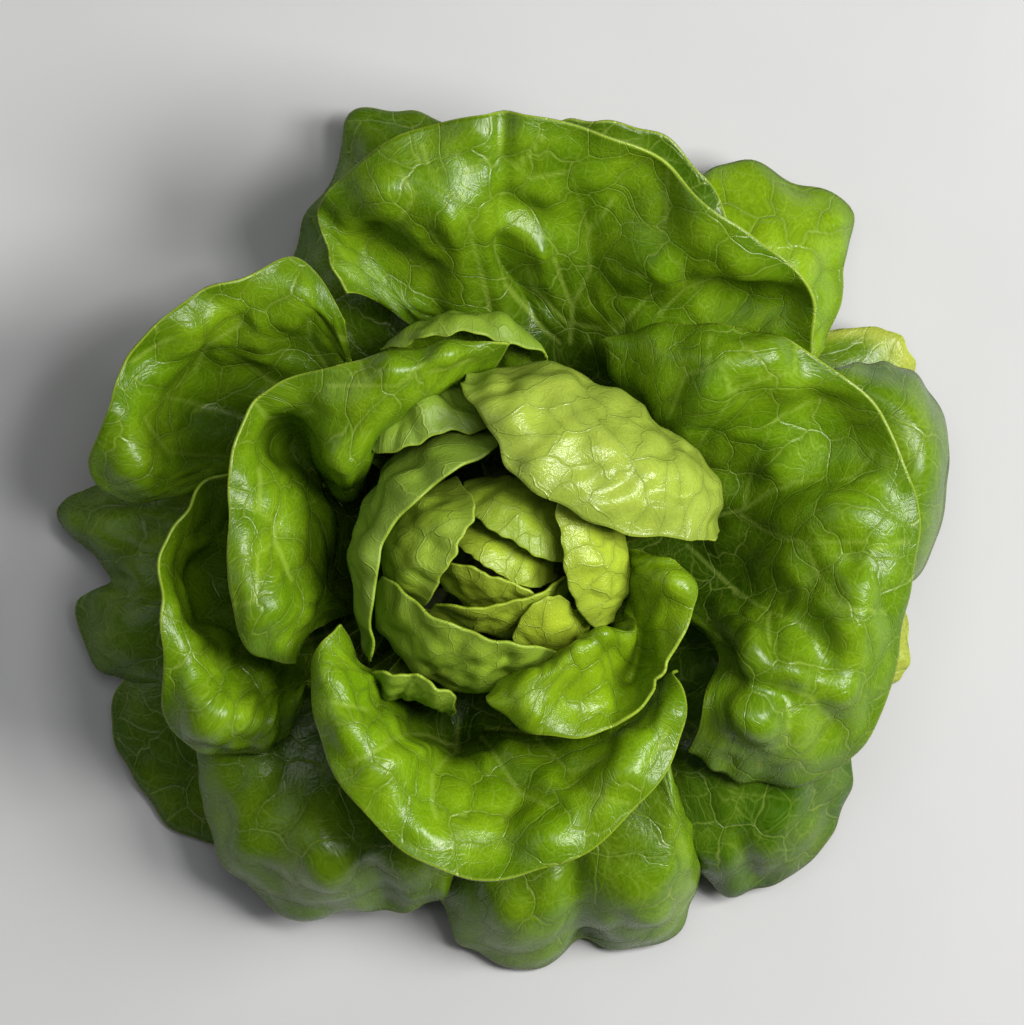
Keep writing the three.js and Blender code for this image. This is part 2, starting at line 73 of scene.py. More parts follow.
# name: order outwards from the heart, bearing of the foot in degrees, neck (x, y, z, half width), rings.
# Every ring runs anticlockwise seen from above, from the neck outwards, and the last one is the rim.
LEAVES = {
    "heart_leaf_core": (0, 40, (7, 6, 62, 7), [
        [(16, -4, 72), (15, 2, 74), (10, 8, 75), (2, 13, 75), (-8, 14, 72)],
        [(12, -6, 80), (8, -1, 84), (2, 4, 85), (-4, 8, 84), (-12, 10, 79)],
        [(8, -8, 84), (1, -4, 86), (-5, 0, 87), (-10, 3, 86), (-15, 6, 82)],
    ]),
    "heart_leaf_core_front": (1, 230, (-7, -7, 58, 8), [
        [(-20, -3, 68), (-13, -9, 68), (-2, -13, 70), (8, -13, 70), (15, -12, 68)],
        [(-18, 0, 78), (-11, -4, 82), (-1, -7, 84), (8, -9, 82), (14, -10, 78)],
        [(-16, 3, 84), (-8, 0, 87), (0, -3, 88), (8, -6, 87), (14, -8, 83)],
    ]),
    "heart_leaf_front_band": (2, 275, (1, -13, 56, 9), [
        [(-21, -15, 67), (-10, -19, 67), (2, -20, 68), (13, -16, 68), (22, -8, 66)],
        [(-19, -11, 78), (-9, -14, 82), (2, -14, 83), (12, -11, 82), (20, -4, 78)],
        [(-17, -9, 84), (-8, -11, 87), (2, -10, 88), (11, -7, 88), (19, -1, 84)],
    ]),
    "heart_leaf_yellow_tip": (3, 310, (12, -15, 54, 8), [
        [(5, -26, 64), (12, -27, 66), (19, -25, 67), (25, -20, 67), (28, -13, 65)],
        [(4, -22, 76), (10, -20, 80), (16, -18, 82), (21, -16, 80), (25, -14, 74)],
        [(3, -18, 82), (8, -12, 86), (14, -8, 87), (19, -9, 86), (22, -14, 80)],
    ]),
    "heart_leaf_back": (4, 60, (9, 16, 54, 10), [
        [(25, 2, 68), (24, 12, 72), (17, 21, 74), (4, 26, 74), (-10, 24, 71)],
        [(21, 1, 80), (16, 8, 86), (9, 14, 88), (-1, 19, 88), (-11, 20, 82)],
        [(17, -2, 86), (11, 2, 90), (4, 6, 91), (-4, 11, 91), (-12, 15, 86)],
    ]),
    "heart_leaf_left": (5, 165, (-18, 5, 52, 11), [
        [(-13, 26, 72), (-26, 20, 72), (-33, 9, 70), (-33, -3, 68), (-27, -14, 66)],
        [(-9, 21, 86), (-20, 15, 89), (-26, 6, 89), (-28, -4, 85), (-24, -12, 78)],
        [(-3, 18, 93), (-8, 12, 95), (-12, 4, 95), (-16, -3, 92), (-18, -10, 86)],
    ]),
    "heart_leaf_right": (6, 355, (20, -1, 52, 11), [
        [(33, -16, 66), (38, -7, 70), (38, 3, 72), (36, 14, 73), (31, 26, 73)],
        [(29, -18, 76), (31, -8, 86), (30, 3, 90), (27, 13, 91), (22, 25, 91)],
        [(23, -18, 80), (20, -8, 90), (18, 2, 94), (16, 12, 95), (13, 24, 94)],
    ]),
    "heart_leaf_front": (7, 250, (-8, -22, 50, 13), [
        [(-37, -8, 64), (-34, -20, 64), (-24, -31, 64), (-9, -37, 64), (7, -37, 64), (21, -31, 62)],
        [(-35, -4, 77), (-30, -15, 81), (-20, -24, 84), (-7, -29, 84), (7, -30, 82), (20, -27, 75)],
        [(-31, 0, 84), (-24, -9, 89), (-15, -16, 92), (-3, -20, 92), (8, -22, 90), (20, -22, 83)],
    ]),
    "cap_leaf": (8, 45, (25, 25, 46, 20), [
        [(64, 12, 62), (65, 23, 66), (59, 33, 68), (48, 42, 70), (34, 53, 69), (14, 60, 68), (-9, 57, 66)],
        [(64, 8, 76), (57, 15, 88), (46, 22, 95), (33, 31, 99), (20, 39, 100), (4, 47, 97), (-11, 54, 86)],
        [(60, 4, 82), (48, 7, 92), (32, 10, 98), (16, 17, 102), (3, 27, 102), (-5, 40, 98), (-16, 51, 90)],
    ]),
    "head_leaf_left": (9, 160, (-28, 8, 43, 17), [
        [(-1, 42, 64), (-16, 41, 64), (-30, 34, 62), (-40, 18, 62), (-43, 0, 62), (-42, -15, 60),
         (-39, -28, 58)],
        [(0, 36, 88), (-14, 34, 90), (-26, 28, 90), (-36, 16, 90), (-40, 0, 90), (-40, -14, 86),
         (-38, -27, 76)],
        [(2, 30, 92), (-10, 27, 95), (-21, 21, 96), (-31, 11, 95), (-35, 0, 93), (-36, -12, 89),
         (-37, -27, 80)],
    ]),
    "head_leaf_front_right": (10, 315, (21, -23, 42, 18), [
        [(0, -34, 80), (12, -31, 90), (22, -23, 93), (31, -19, 90), (40, -19, 82), (44, -11, 83),
         (41, -3, 83), (39, 5, 78)],
        [(-5, -38, 85), (6, -41, 91), (20, -40, 88), (32, -41, 78), (39, -33, 68), (50, -19, 86),
         (55, -8, 92), (49, 2, 86)],
        [(-11, -38, 84), (3, -47, 88), (18, -52, 88), (34, -49, 86), (44, -37, 88), (53, -24, 90),
         (60, -9, 88), (54, 4, 82)],
    ]),
    "head_leaf_crumpled": (11, 232, (-18, -28, 44, 9), [
        [(-36, -34, 58), (-31, -38, 60), (-25, -40, 61), (-18, -42, 61), (-14, -44, 58)],
        [(-38, -31, 70), (-31, -35, 72), (-24, -37, 73), (-17, -40, 72), (-13, -44, 68)],
        [(-39, -29, 75), (-30, -31, 77), (-22, -33, 78), (-14, -37, 77), (-12, -43, 73)],
    ]),
    "head_leaf_back_left": (12, 118, (-18, 30, 44, 12), [
        [(-1, 53, 62), (-12, 55, 64), (-25, 54, 66), (-37, 46, 66), (-43, 35, 64)],
        [(-2, 46, 78), (-11, 47, 84), (-21, 48, 86), (-32, 42, 84), (-39, 34, 78)],
        [(0, 40, 80), (-8, 38, 85), (-18, 38, 87), (-28, 33, 86), (-38, 30, 80)],
    ]),
    "rosette_leaf_front": (13, 258, (-12, -45, 42, 27), [
        [(-40, -30, 64), (-39, -41, 76), (-31, -49, 75), (-20, -56, 62), (-4, -62, 62), (12, -60, 70),
         (26, -54, 74), (38, -44, 68), (46, -34, 58)],
        [(-48, -16, 80), (-50, -34, 89), (-42, -52, 89), (-27, -66, 83), (-6, -76, 79), (18, -74, 83),
         (36, -61, 87), (50, -43, 84), (55, -28, 73)],
        [(-52, -9, 84), (-58, -28, 82), (-53, -56, 84), (-35, -79, 86), (-8, -93, 86), (20, -89, 86),
         (43, -70, 86), (59, -44, 81), (59, -22, 74)],
    ]),
    "rosette_leaf_left": (14, 165, (-43, 13, 39, 25), [
        [(0, 60, 76), (-17, 54, 87), (-34, 44, 90), (-46, 28, 84), (-57, 30, 52), (-60, 16, 70),
         (-61, 0, 79), (-59, -12, 75), (-57, -20, 64)],
        [(4, 66, 84), (-16, 61, 94), (-38, 54, 95), (-55, 47, 84), (-67, 37, 66), (-72, 18, 84),
         (-71, -4, 90), (-67, -18, 84), (-60, -26, 72)],
        [(9, 70, 83), (-14, 67, 88), (-40, 61, 90), (-62, 57, 88), (-77, 42, 86), (-81, 18, 88),
         (-81, -8, 87), (-75, -26, 79), (-61, -34, 69)],
    ]),
    "rosette_leaf_right": (15, 12, (58, 12, 38, 27), [
        [(62, -24, 58), (72, -28, 72), (84, -28, 71), (88, -16, 65), (87, -2, 60), (86, 10, 62),
         (84, 28, 56), (72, 39, 64), (55, 45, 74), (34, 54, 56)],
        [(60, -46, 62), (77, -48, 67), (95, -44, 65), (104, -28, 69), (106, -6, 75), (108, 12, 73),
         (103, 32, 66), (88, 50, 75), (64, 61, 87), (31, 66, 62)],
        [(54, -60, 46), (78, -68, 40), (103, -61, 43), (115, -44, 50), (121, -14, 60), (125, 14, 68),
         (117, 38, 74), (100, 60, 76), (70, 72, 77), (26, 71, 58)],
    ]),
    "head_leaf_back": (16, 105, (-5, 44, 37, 17), [
        [(14, 60, 50), (5, 70, 53), (-13, 73, 54), (-26, 70, 53), (-35, 62, 51)],
        [(14, 62, 62), (5, 70, 67), (-13, 74, 70), (-25, 71, 68), (-33, 64, 63)],
        [(11, 60, 66), (2, 65, 71), (-12, 68, 73), (-23, 66, 71), (-31, 60, 66)],
    ]),
    "rosette_leaf_front_left": (17, 198, (-46, -14, 30, 23), [
        [(-66, 20, 46), (-74, 6, 42), (-80, -6, 42), (-80, -20, 50), (-77, -30, 58), (-71, -38, 58),
         (-64, -38, 54), (-56, -34, 48)],
        [(-74, 28, 56), (-86, 12, 54), (-93, -4, 58), (-91, -24, 74), (-88, -40, 76), (-78, -47, 70),
         (-69, -47, 61), (-59, -40, 52)],
        [(-78, 35, 66), (-93, 18, 72), (-100, 0, 76), (-100, -22, 78), (-101, -45, 66), (-87, -56, 56),
         (-71, -57, 52), (-60, -47, 48)],
    ]),
    "rosette_leaf_back": (18, 72, (20, 58, 32, 28), [
        [(62, 60, 44), (61, 75, 48), (46, 87, 60), (28, 91, 56), (10, 95, 62), (-6, 95, 72),
         (-20, 89, 66), (-29, 82, 50), (-28, 73, 46)],
        [(88, 63, 56), (78, 84, 68), (60, 98, 76), (38, 108, 76), (12, 117, 80), (-14, 116, 86),
         (-32, 106, 82), (-44, 97, 62), (-42, 81, 56)],
        [(102, 60, 60), (92, 84, 74), (72, 103, 82), (45, 121, 86), (14, 133, 88), (-16, 134, 86),
         (-42, 120, 80), (-56, 107, 72), (-50, 80, 66)],
    ]),
    "rosette_leaf_back_left": (19, 142, (-40, 33, 26, 23), [
        [(-42, 58, 40), (-52, 65, 46), (-64, 62, 44), (-74, 55, 40), (-82, 49, 40), (-88, 41, 42),
         (-88, 34, 42), (-82, 29, 38), (-74, 26, 34)],
        [(-46, 70, 52), (-60, 80, 62), (-76, 74, 54), (-90, 67, 62), (-101, 56, 58), (-109, 40, 64),
         (-109, 28, 60), (-101, 23, 52), (-88, 24, 42)],
        [(-46, 79, 56), (-60, 93, 58), (-78, 87, 66), (-96, 78, 68), (-110, 63, 70), (-119, 45, 68),
         (-123, 30, 56), (-114, 18, 48), (-98, 16, 44)],
    ]),
    "wrapper_leaf_right": (20, 15, (58, 14, 28, 27), [
        [(81, -12, 35), (89, 0, 40), (93, 17, 43), (92, 32, 43), (85, 45, 42), (73, 50, 39)],
        [(108, -12, 41), (119, 1, 48), (125, 22, 53), (124, 39, 55), (115, 52, 54), (98, 58, 47)],
        [(119, -14, 24), (130, 0, 22), (136, 22, 24), (135, 42, 26), (126, 59, 28), (106, 63, 32)],
    ]),
    "wrapper_leaf_front_left": (21, 238, (-26, -40, 31, 25), [
        [(-64, -34, 41), (-59, -43, 42), (-51, -53, 43), (-40, -60, 45), (-31, -60, 45), (-21, -61, 43),
         (-11, -59, 42), (-2, -55, 41)],
        [(-84, -49, 47), (-76, -63, 47), (-67, -79, 45), (-54, -88, 49), (-41, -88, 51), (-28, -88, 45),
         (-18, -82, 44), (-7, -74, 46)],
        [(-99, -54, 34), (-90, -76, 26), (-80, -95, 19), (-63, -108, 14), (-45, -107, 16),
         (-28, -108, 16), (-16, -100, 23), (-6, -84, 34)],
    ]),
    "wrapper_leaf_front": (22, 285, (10, -46, 30, 27), [
        [(-9, -69, 33), (1, -73, 38), (11, -74, 41), (21, -70, 44), (32, -66, 46), (40, -60, 46),
         (45, -51, 45), (46, -42, 44)],
        [(-15, -97, 22), (0, -102, 33), (13, -104, 36), (26, -99, 37), (39, -95, 43), (51, -86, 46),
         (53, -73, 47), (49, -60, 46)],
        [(-26, -106, 3), (-11, -118, 2), (10, -123, 2), (25, -118, 3), (43, -118, 3), (58, -107, 8),
         (60, -84, 22), (54, -66, 32)],
    ]),
    "wrapper_leaf_back": (23, 65, (18, 42, 24, 22), [
        [(50, 62, 34), (44, 71, 37), (36, 78, 39), (23, 83, 40), (10, 84, 39), (-2, 81, 36)],
        [(69, 89, 45), (60, 101, 51), (47, 112, 55), (29, 118, 57), (14, 119, 55), (-3, 113, 49)],
        [(76, 99, 50), (68, 111, 56), (52, 126, 62), (32, 134, 64), (18, 133, 62), (0, 126, 56)],
    ]),
    "wrapper_leaf_front_right": (24, 315, (34, -34, 26, 25), [
        [(42, -64, 29), (48, -64, 33), (55, -59, 36), (62, -51, 38), (68, -42, 39), (71, -31, 39),
         (71, -20, 37)],
        [(56, -86, 21), (62, -87, 28), (73, -82, 33), (83, -72, 36), (90, -61, 38), (93, -49, 39),
         (89, -37, 40)],
        [(57, -98, 4), (68, -101, 6), (81, -99, 7), (94, -90, 8), (103, -78, 12), (107, -64, 17),
         (103, -48, 26)],
    ]),
    "wrapper_leaf_left": (25, 183, (-44, -3, 23, 25), [
        [(-71, 25, 27), (-75, 12, 30), (-75, 3, 32), (-75, -6, 32), (-74, -13, 32), (-70, -21, 31),
         (-64, -26, 29), (-56, -30, 26)],
        [(-102, 27, 24), (-111, 14, 26), (-108, 2, 29), (-107, -6, 29), (-110, -13, 27), (-107, -25, 26),
         (-97, -33, 24), (-84, -38, 22)],
        [(-120, 31, 11), (-137, 17, 6), (-122, 1, 12), (-119, -5, 12), (-129, -11, 8), (-127, -26, 7),
         (-114, -37, 9), (-97, -45, 12)],
    ]),
    "wrapper_leaf_back_right": (26, 45, (32, 32, 20, 22), [
        [(66, 34, 28), (65, 44, 30), (60, 54, 32), (53, 60, 32), (46, 65, 32), (39, 67, 31), (31, 67, 28)],
        [(92, 58, 31), (91, 71, 32), (89, 83, 33), (85, 95, 34), (74, 101, 34), (60, 103, 32),
         (48, 100, 30)],
        [(104, 67, 22), (105, 80, 18), (105, 92, 15), (109, 108, 13), (90, 118, 15), (71, 124, 16),
         (55, 120, 18)],
    ]),
    "wrapper_leaf_back_left": (27, 108, (-12, 42, 19, 23), [
        [(7, 72, 28), (-3, 75, 30), (-12, 74, 32), (-20, 71, 32), (-28, 66, 32), (-35, 60, 30),
         (-42, 54, 27)],
        [(5, 108, 32), (-9, 112, 33), (-21, 113, 33), (-33, 109, 32), (-41, 100, 30), (-50, 91, 29),
         (-60, 80, 27)],
        [(0, 126, 21), (-14, 134, 20), (-28, 138, 17), (-45, 138, 14), (-51, 120, 13), (-61, 104, 12),
         (-73, 90, 13)],
    ]),
    "lower_leaf_front_left": (28, 213, (-34, -22, 13, 20), [
        [(-68, -13, 18), (-69, -22, 19), (-64, -32, 19), (-57, -43, 19), (-50, -50, 18), (-42, -53, 18),
         (-36, -53, 16)],
        [(-96, -22, 19), (-99, -35, 18), (-94, -48, 17), (-87, -59, 16), (-78, -68, 15), (-67, -71, 15),
         (-56, -68, 15)],
        [(-117, -27, 9), (-121, -40, 6), (-117, -57, 4), (-109, -72, 3), (-95, -85, 3), (-81, -87, 3),
         (-68, -80, 5)],
    ]),
    "lower_leaf_back_right": (29, 26, (36, 17, 12, 19), [
        [(62, 12, 16), (65, 23, 17), (63, 33, 17), (56, 41, 17), (47, 44, 15)],
        [(91, 29, 16), (100, 43, 17), (99, 55, 18), (88, 61, 18), (76, 62, 16)],
        [(114, 41, 8), (127, 56, 9), (124, 69, 13), (107, 73, 14), (90, 72, 12)],
    ]),
    "lower_leaf_right": (30, 345, (36, -10, 10, 19), [
        [(57, -30, 12), (62, -22, 14), (64, -12, 15), (62, -2, 15), (57, 7, 13)],
        [(88, -41, 11), (98, -31, 13), (101, -20, 14), (99, -8, 14), (91, 4, 12)],
        [(108, -46, 4), (121, -36, 4), (126, -29, 5), (124, -12, 5), (114, 2, 5)],
    ]),
    "lower_leaf_front_right": (31, 312, (25, -27, 8, 17), [
        [(36, -47, 8), (42, -46, 10), (47, -41, 11), (50, -36, 11), (50, -28, 9)],
        [(56, -74, 7), (66, -76, 9), (74, -69, 10), (78, -59, 11), (76, -48, 9)],
        [(68, -92, 2), (80, -96, 2), (89, -90, 2.5), (93, -78, 3), (90, -64, 4)],
    ]),
}

# What sets a leaf's surface: tone -0.5 is a pale waxy green, 0 the heart's yellow-green and 1 the deepest outer
# green; yellow is how far the tip has yellowed with age; cell the distance between blisters and puff their
# height, in mm; wave the height of the broad swells; ruffle that of the margin's; corner how far the two ends
# of the rim are rounded back; columns and rows the mesh.
LOOKS = {
    "heart_leaf": dict(tone=0.12, cell=8.5, puff=1.5, wave=0.5, ruffle=0.5, corner=0.10, columns=76, rows=72),
    "cap_leaf": dict(tone=-0.40, cell=12.0, puff=2.6, wave=0.7, ruffle=0.5, corner=0.06, columns=112, rows=96),
    "head_leaf": dict(tone=0.45, cell=11.0, puff=1.7, wave=0.9, ruffle=0.6, corner=0.08, columns=86, rows=80),
    "rosette_leaf": dict(tone=0.66, cell=14.0, puff=2.2, wave=1.3, ruffle=0.8, corner=0.06, columns=132, rows=116),
    "wrapper_leaf": dict(tone=0.85, cell=18.0, puff=2.0, wave=1.5, ruffle=1.0, corner=0.12, columns=80, rows=76),
    "lower_leaf": dict(tone=0.90, cell=15.0, puff=1.4, wave=1.0, ruffle=0.8, corner=0.20, columns=52, rows=48),
}
OWN_LOOKS = {
    "heart_leaf_yellow_tip": dict(tone=0.0, puff=0.7),
    "heart_leaf_back": dict(tone=0.26),
    "heart_leaf_right": dict(tone=-0.1),
    "heart_leaf_left": dict(tone=0.36, puff=2.0),
    "heart_leaf_front": dict(tone=0.42, cell=8.0, puff=3.2),
    "head_leaf_back": dict(tone=0.56, cell=8.5, puff=2.6),
    "head_leaf_back_left": dict(tone=0.62, cell=12.0, puff=3.0),
    # Painted shade: this leaf's darker tone paints the shade on its side turned from the lights.
    "head_leaf_left": dict(tone=0.72, puff=2.6),
    "head_leaf_front_right": dict(tone=0.44, columns=100, rows=90),
    "head_leaf_crumpled": dict(tone=0.42, cell=6.0, puff=2.2),
    "rosette_leaf_front": dict(tone=0.52, corner=0.12),
    "rosette_leaf_front_left": dict(tone=0.60),
    "wrapper_leaf_right": dict(tone=0.84, puff=0.6, wave=1.2),
    "wrapper_leaf_back_right": dict(tone=0.46, puff=1.1),
    # Painted shade: this leaf, folded behind the back rosette leaf, gets the deepest green to paint the shade it
    # lies in.
    "wrapper_leaf_back": dict(tone=1.0),
    "wrapper_leaf_front": dict(tone=0.62),
    "wrapper_leaf_front_left": dict(tone=0.70),
    "wrapper_leaf_front_right": dict(tone=1.0),
    "lower_leaf_right": dict(yellow=1.0),
    "lower_leaf_back_right": dict(yellow=1.0),
    "lower_leaf_front_right": dict(yellow=0.5),
}

# Folds that belong to one leaf: x and y of each point of its path seen from above, then its reach and its
# height, in mm. A positive height bulges towards the leaf's inner face, a negative one is a hollow or a crease.
FOLDS = {
    "rosette_leaf_back": [
        (-16, 106, 9, 7), (-32, 112, 8, 4), (8, 104, 5, -5), (3, 94, 4, 86, 10, 76, 4, -6),
        (1, 132, 1, 118, 2, 104, 3, -3), (12, 93, 5, 4), (47, 90, 9, 6.5), (63, 104, 10, 5), (40, 112, 8, -5),
        (72, 91, 8, 4), (66, 80, 84, 76, 6, -6), (22, 100, 8, -4), (-38, 96, -22, 86, 6, -6), (-26, 80, 6, 4),
    ],
    "rosette_leaf_right": [
        (63, 50, 8, 4.5), (79, 60, 8, 4), (86, 53, 5, 2), (97, 38, 12, -8), (82, 30, 6, 3), (101, 16, 11, 5),
        (88, 2, 8, 2.5), (103, 2, 5, -3.5), (104, -15, 8, 4.5), (70, -2, 84, -10, 5, -3.5), (75, -24, 7, 5),
        (66, -27, 5, -4.5), (86, -32, 6, 4), (97, -28, 91, -20, 5, -3), (101, -37, 7, 2.5), (74, -44, 9, 5),
        (70, -35, 84, -38, 4, -4.5), (95, -47, 6, -2.5), (90, -58, 7, 2), (56, 36, 7, 2),
    ],
    "rosette_leaf_front": [
        (-45, -45, 8, 3), (-35, -56, 7, 3), (-23, -56, 5, 2), (0, -58, 6, 3), (14, -78, 9, 2), (38, -62, 10, 2.5),
        (-12, -50, 6, -4), (-22, -70, 5, -2), (24, -62, 4, -1.5), (6, -72, 2, -84, 4, -1.5),
    ],
    "rosette_leaf_back_left": [
        (-86, 50, 15, -8), (-114, 45, 7, 3.5), (-107, 30, 7, 3.5), (-74, 72, 7, 2.5), (-95, 72, 8, 3),
        (-62, 62, 6, -4), (-100, 52, 6, 2),
    ],
    "rosette_leaf_left": [
        (-30, 57, 6, 2), (-17, 64, 6, 2), (-62, 36, 7, -6), (-71, 26, 6, 2), (-70, 6, 6, -2), (-70, -12, 7, 2),
        (-50, 50, 7, 2),
    ],
    "rosette_leaf_front_left": [(-85, -44, 8, 4), (-70, -47, 6, 2), (-89, -2, -87, -14, 6, -6)],
    "cap_leaf": [
        (44, 22, 4, 2.5), (52, 21, 3.5, 2), (38, 28, 4, 1.5), (26, 28, 5, 1.5), (14, 37, 6, 1.5), (26, 52, 5, 2),
        (30, 44, 4, 1.5), (20, 49, 6, -2), (40, 38, 6, -2), (32, 34, 5, -1.5), (48, 25, 6, -3), (57, 27, 5, -1.5),
        (12, 28, 7, -1.5), (3, 48, 5, -1.5),
    ],
    "head_leaf_front_right": [
        (33, -26, 37, -37, 4.5, -2.5), (22, -40, 6, -2.5), (10, -44, 5, 2), (50, -4, 5, 2), (30, -46, 4, 1.5),
    ],
    "head_leaf_left": [
        (-41, -7, 5, 1.6), (-40, -21, 4, 1.2), (-38, 12, 6, 1.5), (-24, 31, 5, 1.2), (-39, 2, -44, 3, 3, -0.9),
        (-31, 24, -36, 28, 3, -0.8),
    ],
    "head_leaf_back_left": [(-22, 46, -26, 53, 4, -1.5), (-12, 47, 5, 2), (-31, 43, 5, 2)],
    "head_leaf_back": [
        (-7, 72, 5, 1.5), (-20, 72, 4, 1.4), (4, 68, 4, 1), (-29, 67, 3, 0.8), (-14, 71, -15, 76, 3, -0.8),
        (-1, 70, 0, 75, 2.5, -0.6),
    ],
    "head_leaf_crumpled": [(-31, -34, -34, -39, 2.5, -1.6), (-19, -36, -18, -42, 2.5, -1.2), (-26, -36, 4, 1.6)],
    "heart_leaf_front": [
        (-30, -14, -35, -18, 3, -1), (-19, -22, -24, -30, 3, -1), (-5, -26, -6, -36, 2.5, -1),
        (11, -27, 13, -36, 3, -0.8), (-12, -27, 4, 1.2), (3, -29, 4, 1.2), (-28, -20, 4, 1.2),
    ],
    "heart_leaf_left": [(-17, 13, -25, 17, 3, -0.8), (-22, 0, -31, 3, 3, -0.8), (-21, 8, 4, 1), (-23, -6, 4, 1)],
    "heart_leaf_right": [(28, 10, 5, 1.2), (27, -7, 4, 1.2), (25, 2, 33, 2, 3, -0.8)],
    "heart_leaf_back": [(11, 16, 4, 1), (-4, 17, 3, 0.8), (5, 14, 9, 22, 2.5, -0.7)],
    "wrapper_leaf_front": [(25, -113, 23, -100, 20, -88, 5, -3.5), (46, -100, 9, 4), (4, -106, 9, 4)],
    "wrapper_leaf_front_left": [(-55, -82, 10, 6), (-38, -92, -34, -104, 5, -5), (-76, -84, 8, 4)],
    "wrapper_leaf_front_right": [(84, -84, 8, 3), (72, -84, 76, -94, 4, -3)],
}

# Main veins that belong to one leaf, as paths seen from above. The other leaves grow theirs by rule.
VEINS = {
    "rosette_leaf_back": [
        [(21, 66), (22, 78), (27, 88), (26, 97), (23, 108), (21, 117), (20, 128)], [(21, 78), (16, 92), (14, 101)],
        [(22, 70), (12, 80), (9, 88), (9, 96)],
        [(18, 66), (8, 74), (2, 81), (2, 92), (1, 105), (4, 110), (9, 114)], [(9, 114), (20, 116), (30, 117)],
        [(-3, 76), (-6, 88), (-9, 100), (-12, 109), (-19, 113), (-25, 110)],
        [(-12, 109), (-10, 115), (-6, 119), (0, 121), (5, 117), (9, 114)], [(-19, 113), (-23, 124), (-27, 128)],
        [(-10, 115), (-12, 122), (-20, 128)], [(22, 72), (30, 71), (38, 74)],
        [(48, 74), (55, 83), (55, 92), (48, 98)], [(49, 102), (49, 118)], [(-25, 110), (-30, 102), (-40, 99)],
        [(55, 83), (70, 84), (84, 80)], [(-25, 110), (-30, 117), (-30, 125)], [(0, 121), (2, 134)],
        [(5, 117), (13, 127)], [(26, 97), (33, 106)], [(-16, 92), (-20, 100), (-22, 106)], [(36, 71), (48, 84)],
    ],
    "rosette_leaf_right": [
        [(60, 13), (72, 17), (74, 25), (78, 35), (81, 41), (90, 44)], [(81, 41), (96, 46), (110, 38)],
        [(72, 17), (80, 22), (90, 25), (103, 26), (112, 25), (117, 21), (116, 15), (112, 10)],
        [(71, 15), (78, 10), (90, 7), (108, 7), (112, 5), (107, 0), (105, -3)],
        [(54, 56), (61, 58), (73, 63), (81, 69)], [(56, 6), (66, -4), (76, -11), (84, -15), (92, -18)],
        [(50, 44), (54, 56), (52, 66), (50, 71)], [(61, 58), (62, 68)], [(66, 58), (68, 52), (60, 38), (56, 28)],
        [(68, 52), (79, 57), (87, 57), (91, 55)], [(87, 57), (87, 66), (81, 69)],
        [(92, 6), (95, -4), (103, -12), (96, -17)], [(80, -14), (80, -25)], [(84, -36), (92, -39), (106, -33)],
        [(92, -39), (100, -48)], [(86, -40), (85, -53)], [(103, -12), (114, -14)],
        [(65, -49), (76, -54), (85, -53), (102, -53)], [(76, -54), (79, -66)], [(64, -20), (70, -32), (84, -36)],
        [(112, 5), (122, 8)], [(104, 26), (110, 33)],
    ],
    "rosette_leaf_front": [
        [(-12, -44), (-12, -53), (-20, -62), (-28, -72)], [(-12, -50), (-25, -49), (-33, -52), (-40, -43)],
        [(-6, -50), (5, -66), (0, -75), (-8, -88)], [(-4, -48), (10, -50), (20, -60), (26, -67), (25, -78)],
        [(20, -60), (32, -56), (44, -58)], [(5, -66), (16, -72)], [(-33, -52), (-44, -58)],
        [(-20, -62), (-18, -74)], [(-40, -43), (-50, -40)], [(26, -67), (38, -70)], [(44, -58), (50, -48)],
    ],
    "cap_leaf": [
        [(-10, 47), (2, 43), (10, 38), (17, 38), (27, 44), (34, 49)], [(27, 44), (28, 40), (29, 35), (36, 30)],
        [(20, 22), (30, 27), (40, 29), (52, 32)], [(43, 28), (39, 20), (50, 17), (62, 18)], [(27, 18), (39, 20)],
        [(5, 44), (8, 52), (15, 57)], [(17, 38), (10, 30), (8, 25)], [(8, 52), (20, 54)],
        [(52, 32), (54, 24), (50, 17)], [(40, 29), (46, 36)], [(-3, 45), (-2, 54)],
    ],
    "rosette_leaf_back_left": [
        [(-44, 44), (-53, 60), (-58, 66), (-65, 66), (-77, 73), (-90, 82)], [(-57, 66), (-57, 72), (-65, 82)],
        [(-40, 63), (-54, 72)], [(-52, 46), (-70, 54), (-84, 64), (-98, 68)],
        [(-54, 40), (-76, 44), (-98, 50), (-112, 52)], [(-56, 34), (-80, 32), (-98, 34), (-112, 30)],
        [(-84, 64), (-88, 54), (-98, 50)], [(-77, 73), (-84, 64)], [(-98, 34), (-104, 44), (-98, 50)],
        [(-98, 68), (-108, 60)],
    ],
    "rosette_leaf_left": [
        [(-77, 20), (-70, 16), (-65, 13), (-55, 20)], [(-65, 13), (-64, 8), (-70, 4), (-79, 0)],
        [(-50, 53), (-38, 53), (-30, 53), (-20, 57)], [(-30, 53), (-22, 60), (-20, 67)], [(-38, 53), (-42, 61)],
        [(-64, 8), (-60, -4)], [(-70, 16), (-72, 28), (-66, 40)], [(-66, 40), (-72, 48)],
        [(-70, 4), (-72, -10), (-66, -20)], [(-72, -10), (-80, -12)], [(-20, 57), (-8, 60), (4, 66)],
        [(-66, 40), (-55, 46)],
    ],
}


def linear(code):
    """A hex sRGB colour as linear red, green and blue."""
    parts = [int(code[n : n + 2], 16) / 255 for n in (1, 3, 5)]
    return tuple(p / 12.92 if p <= 0.04045 else ((p + 0.055) / 1.055) ** 2.4 for p in parts)


def colour(name, description, code):
    return bpy.props.FloatVectorProperty(
        name=name, description=description, default=linear(code), subtype="COLOR", size=3, min=0, max=1
    )


def length(name, description, default):
    return bpy.props.FloatProperty(name=name, description=description, default=default, unit="LENGTH", min=0)


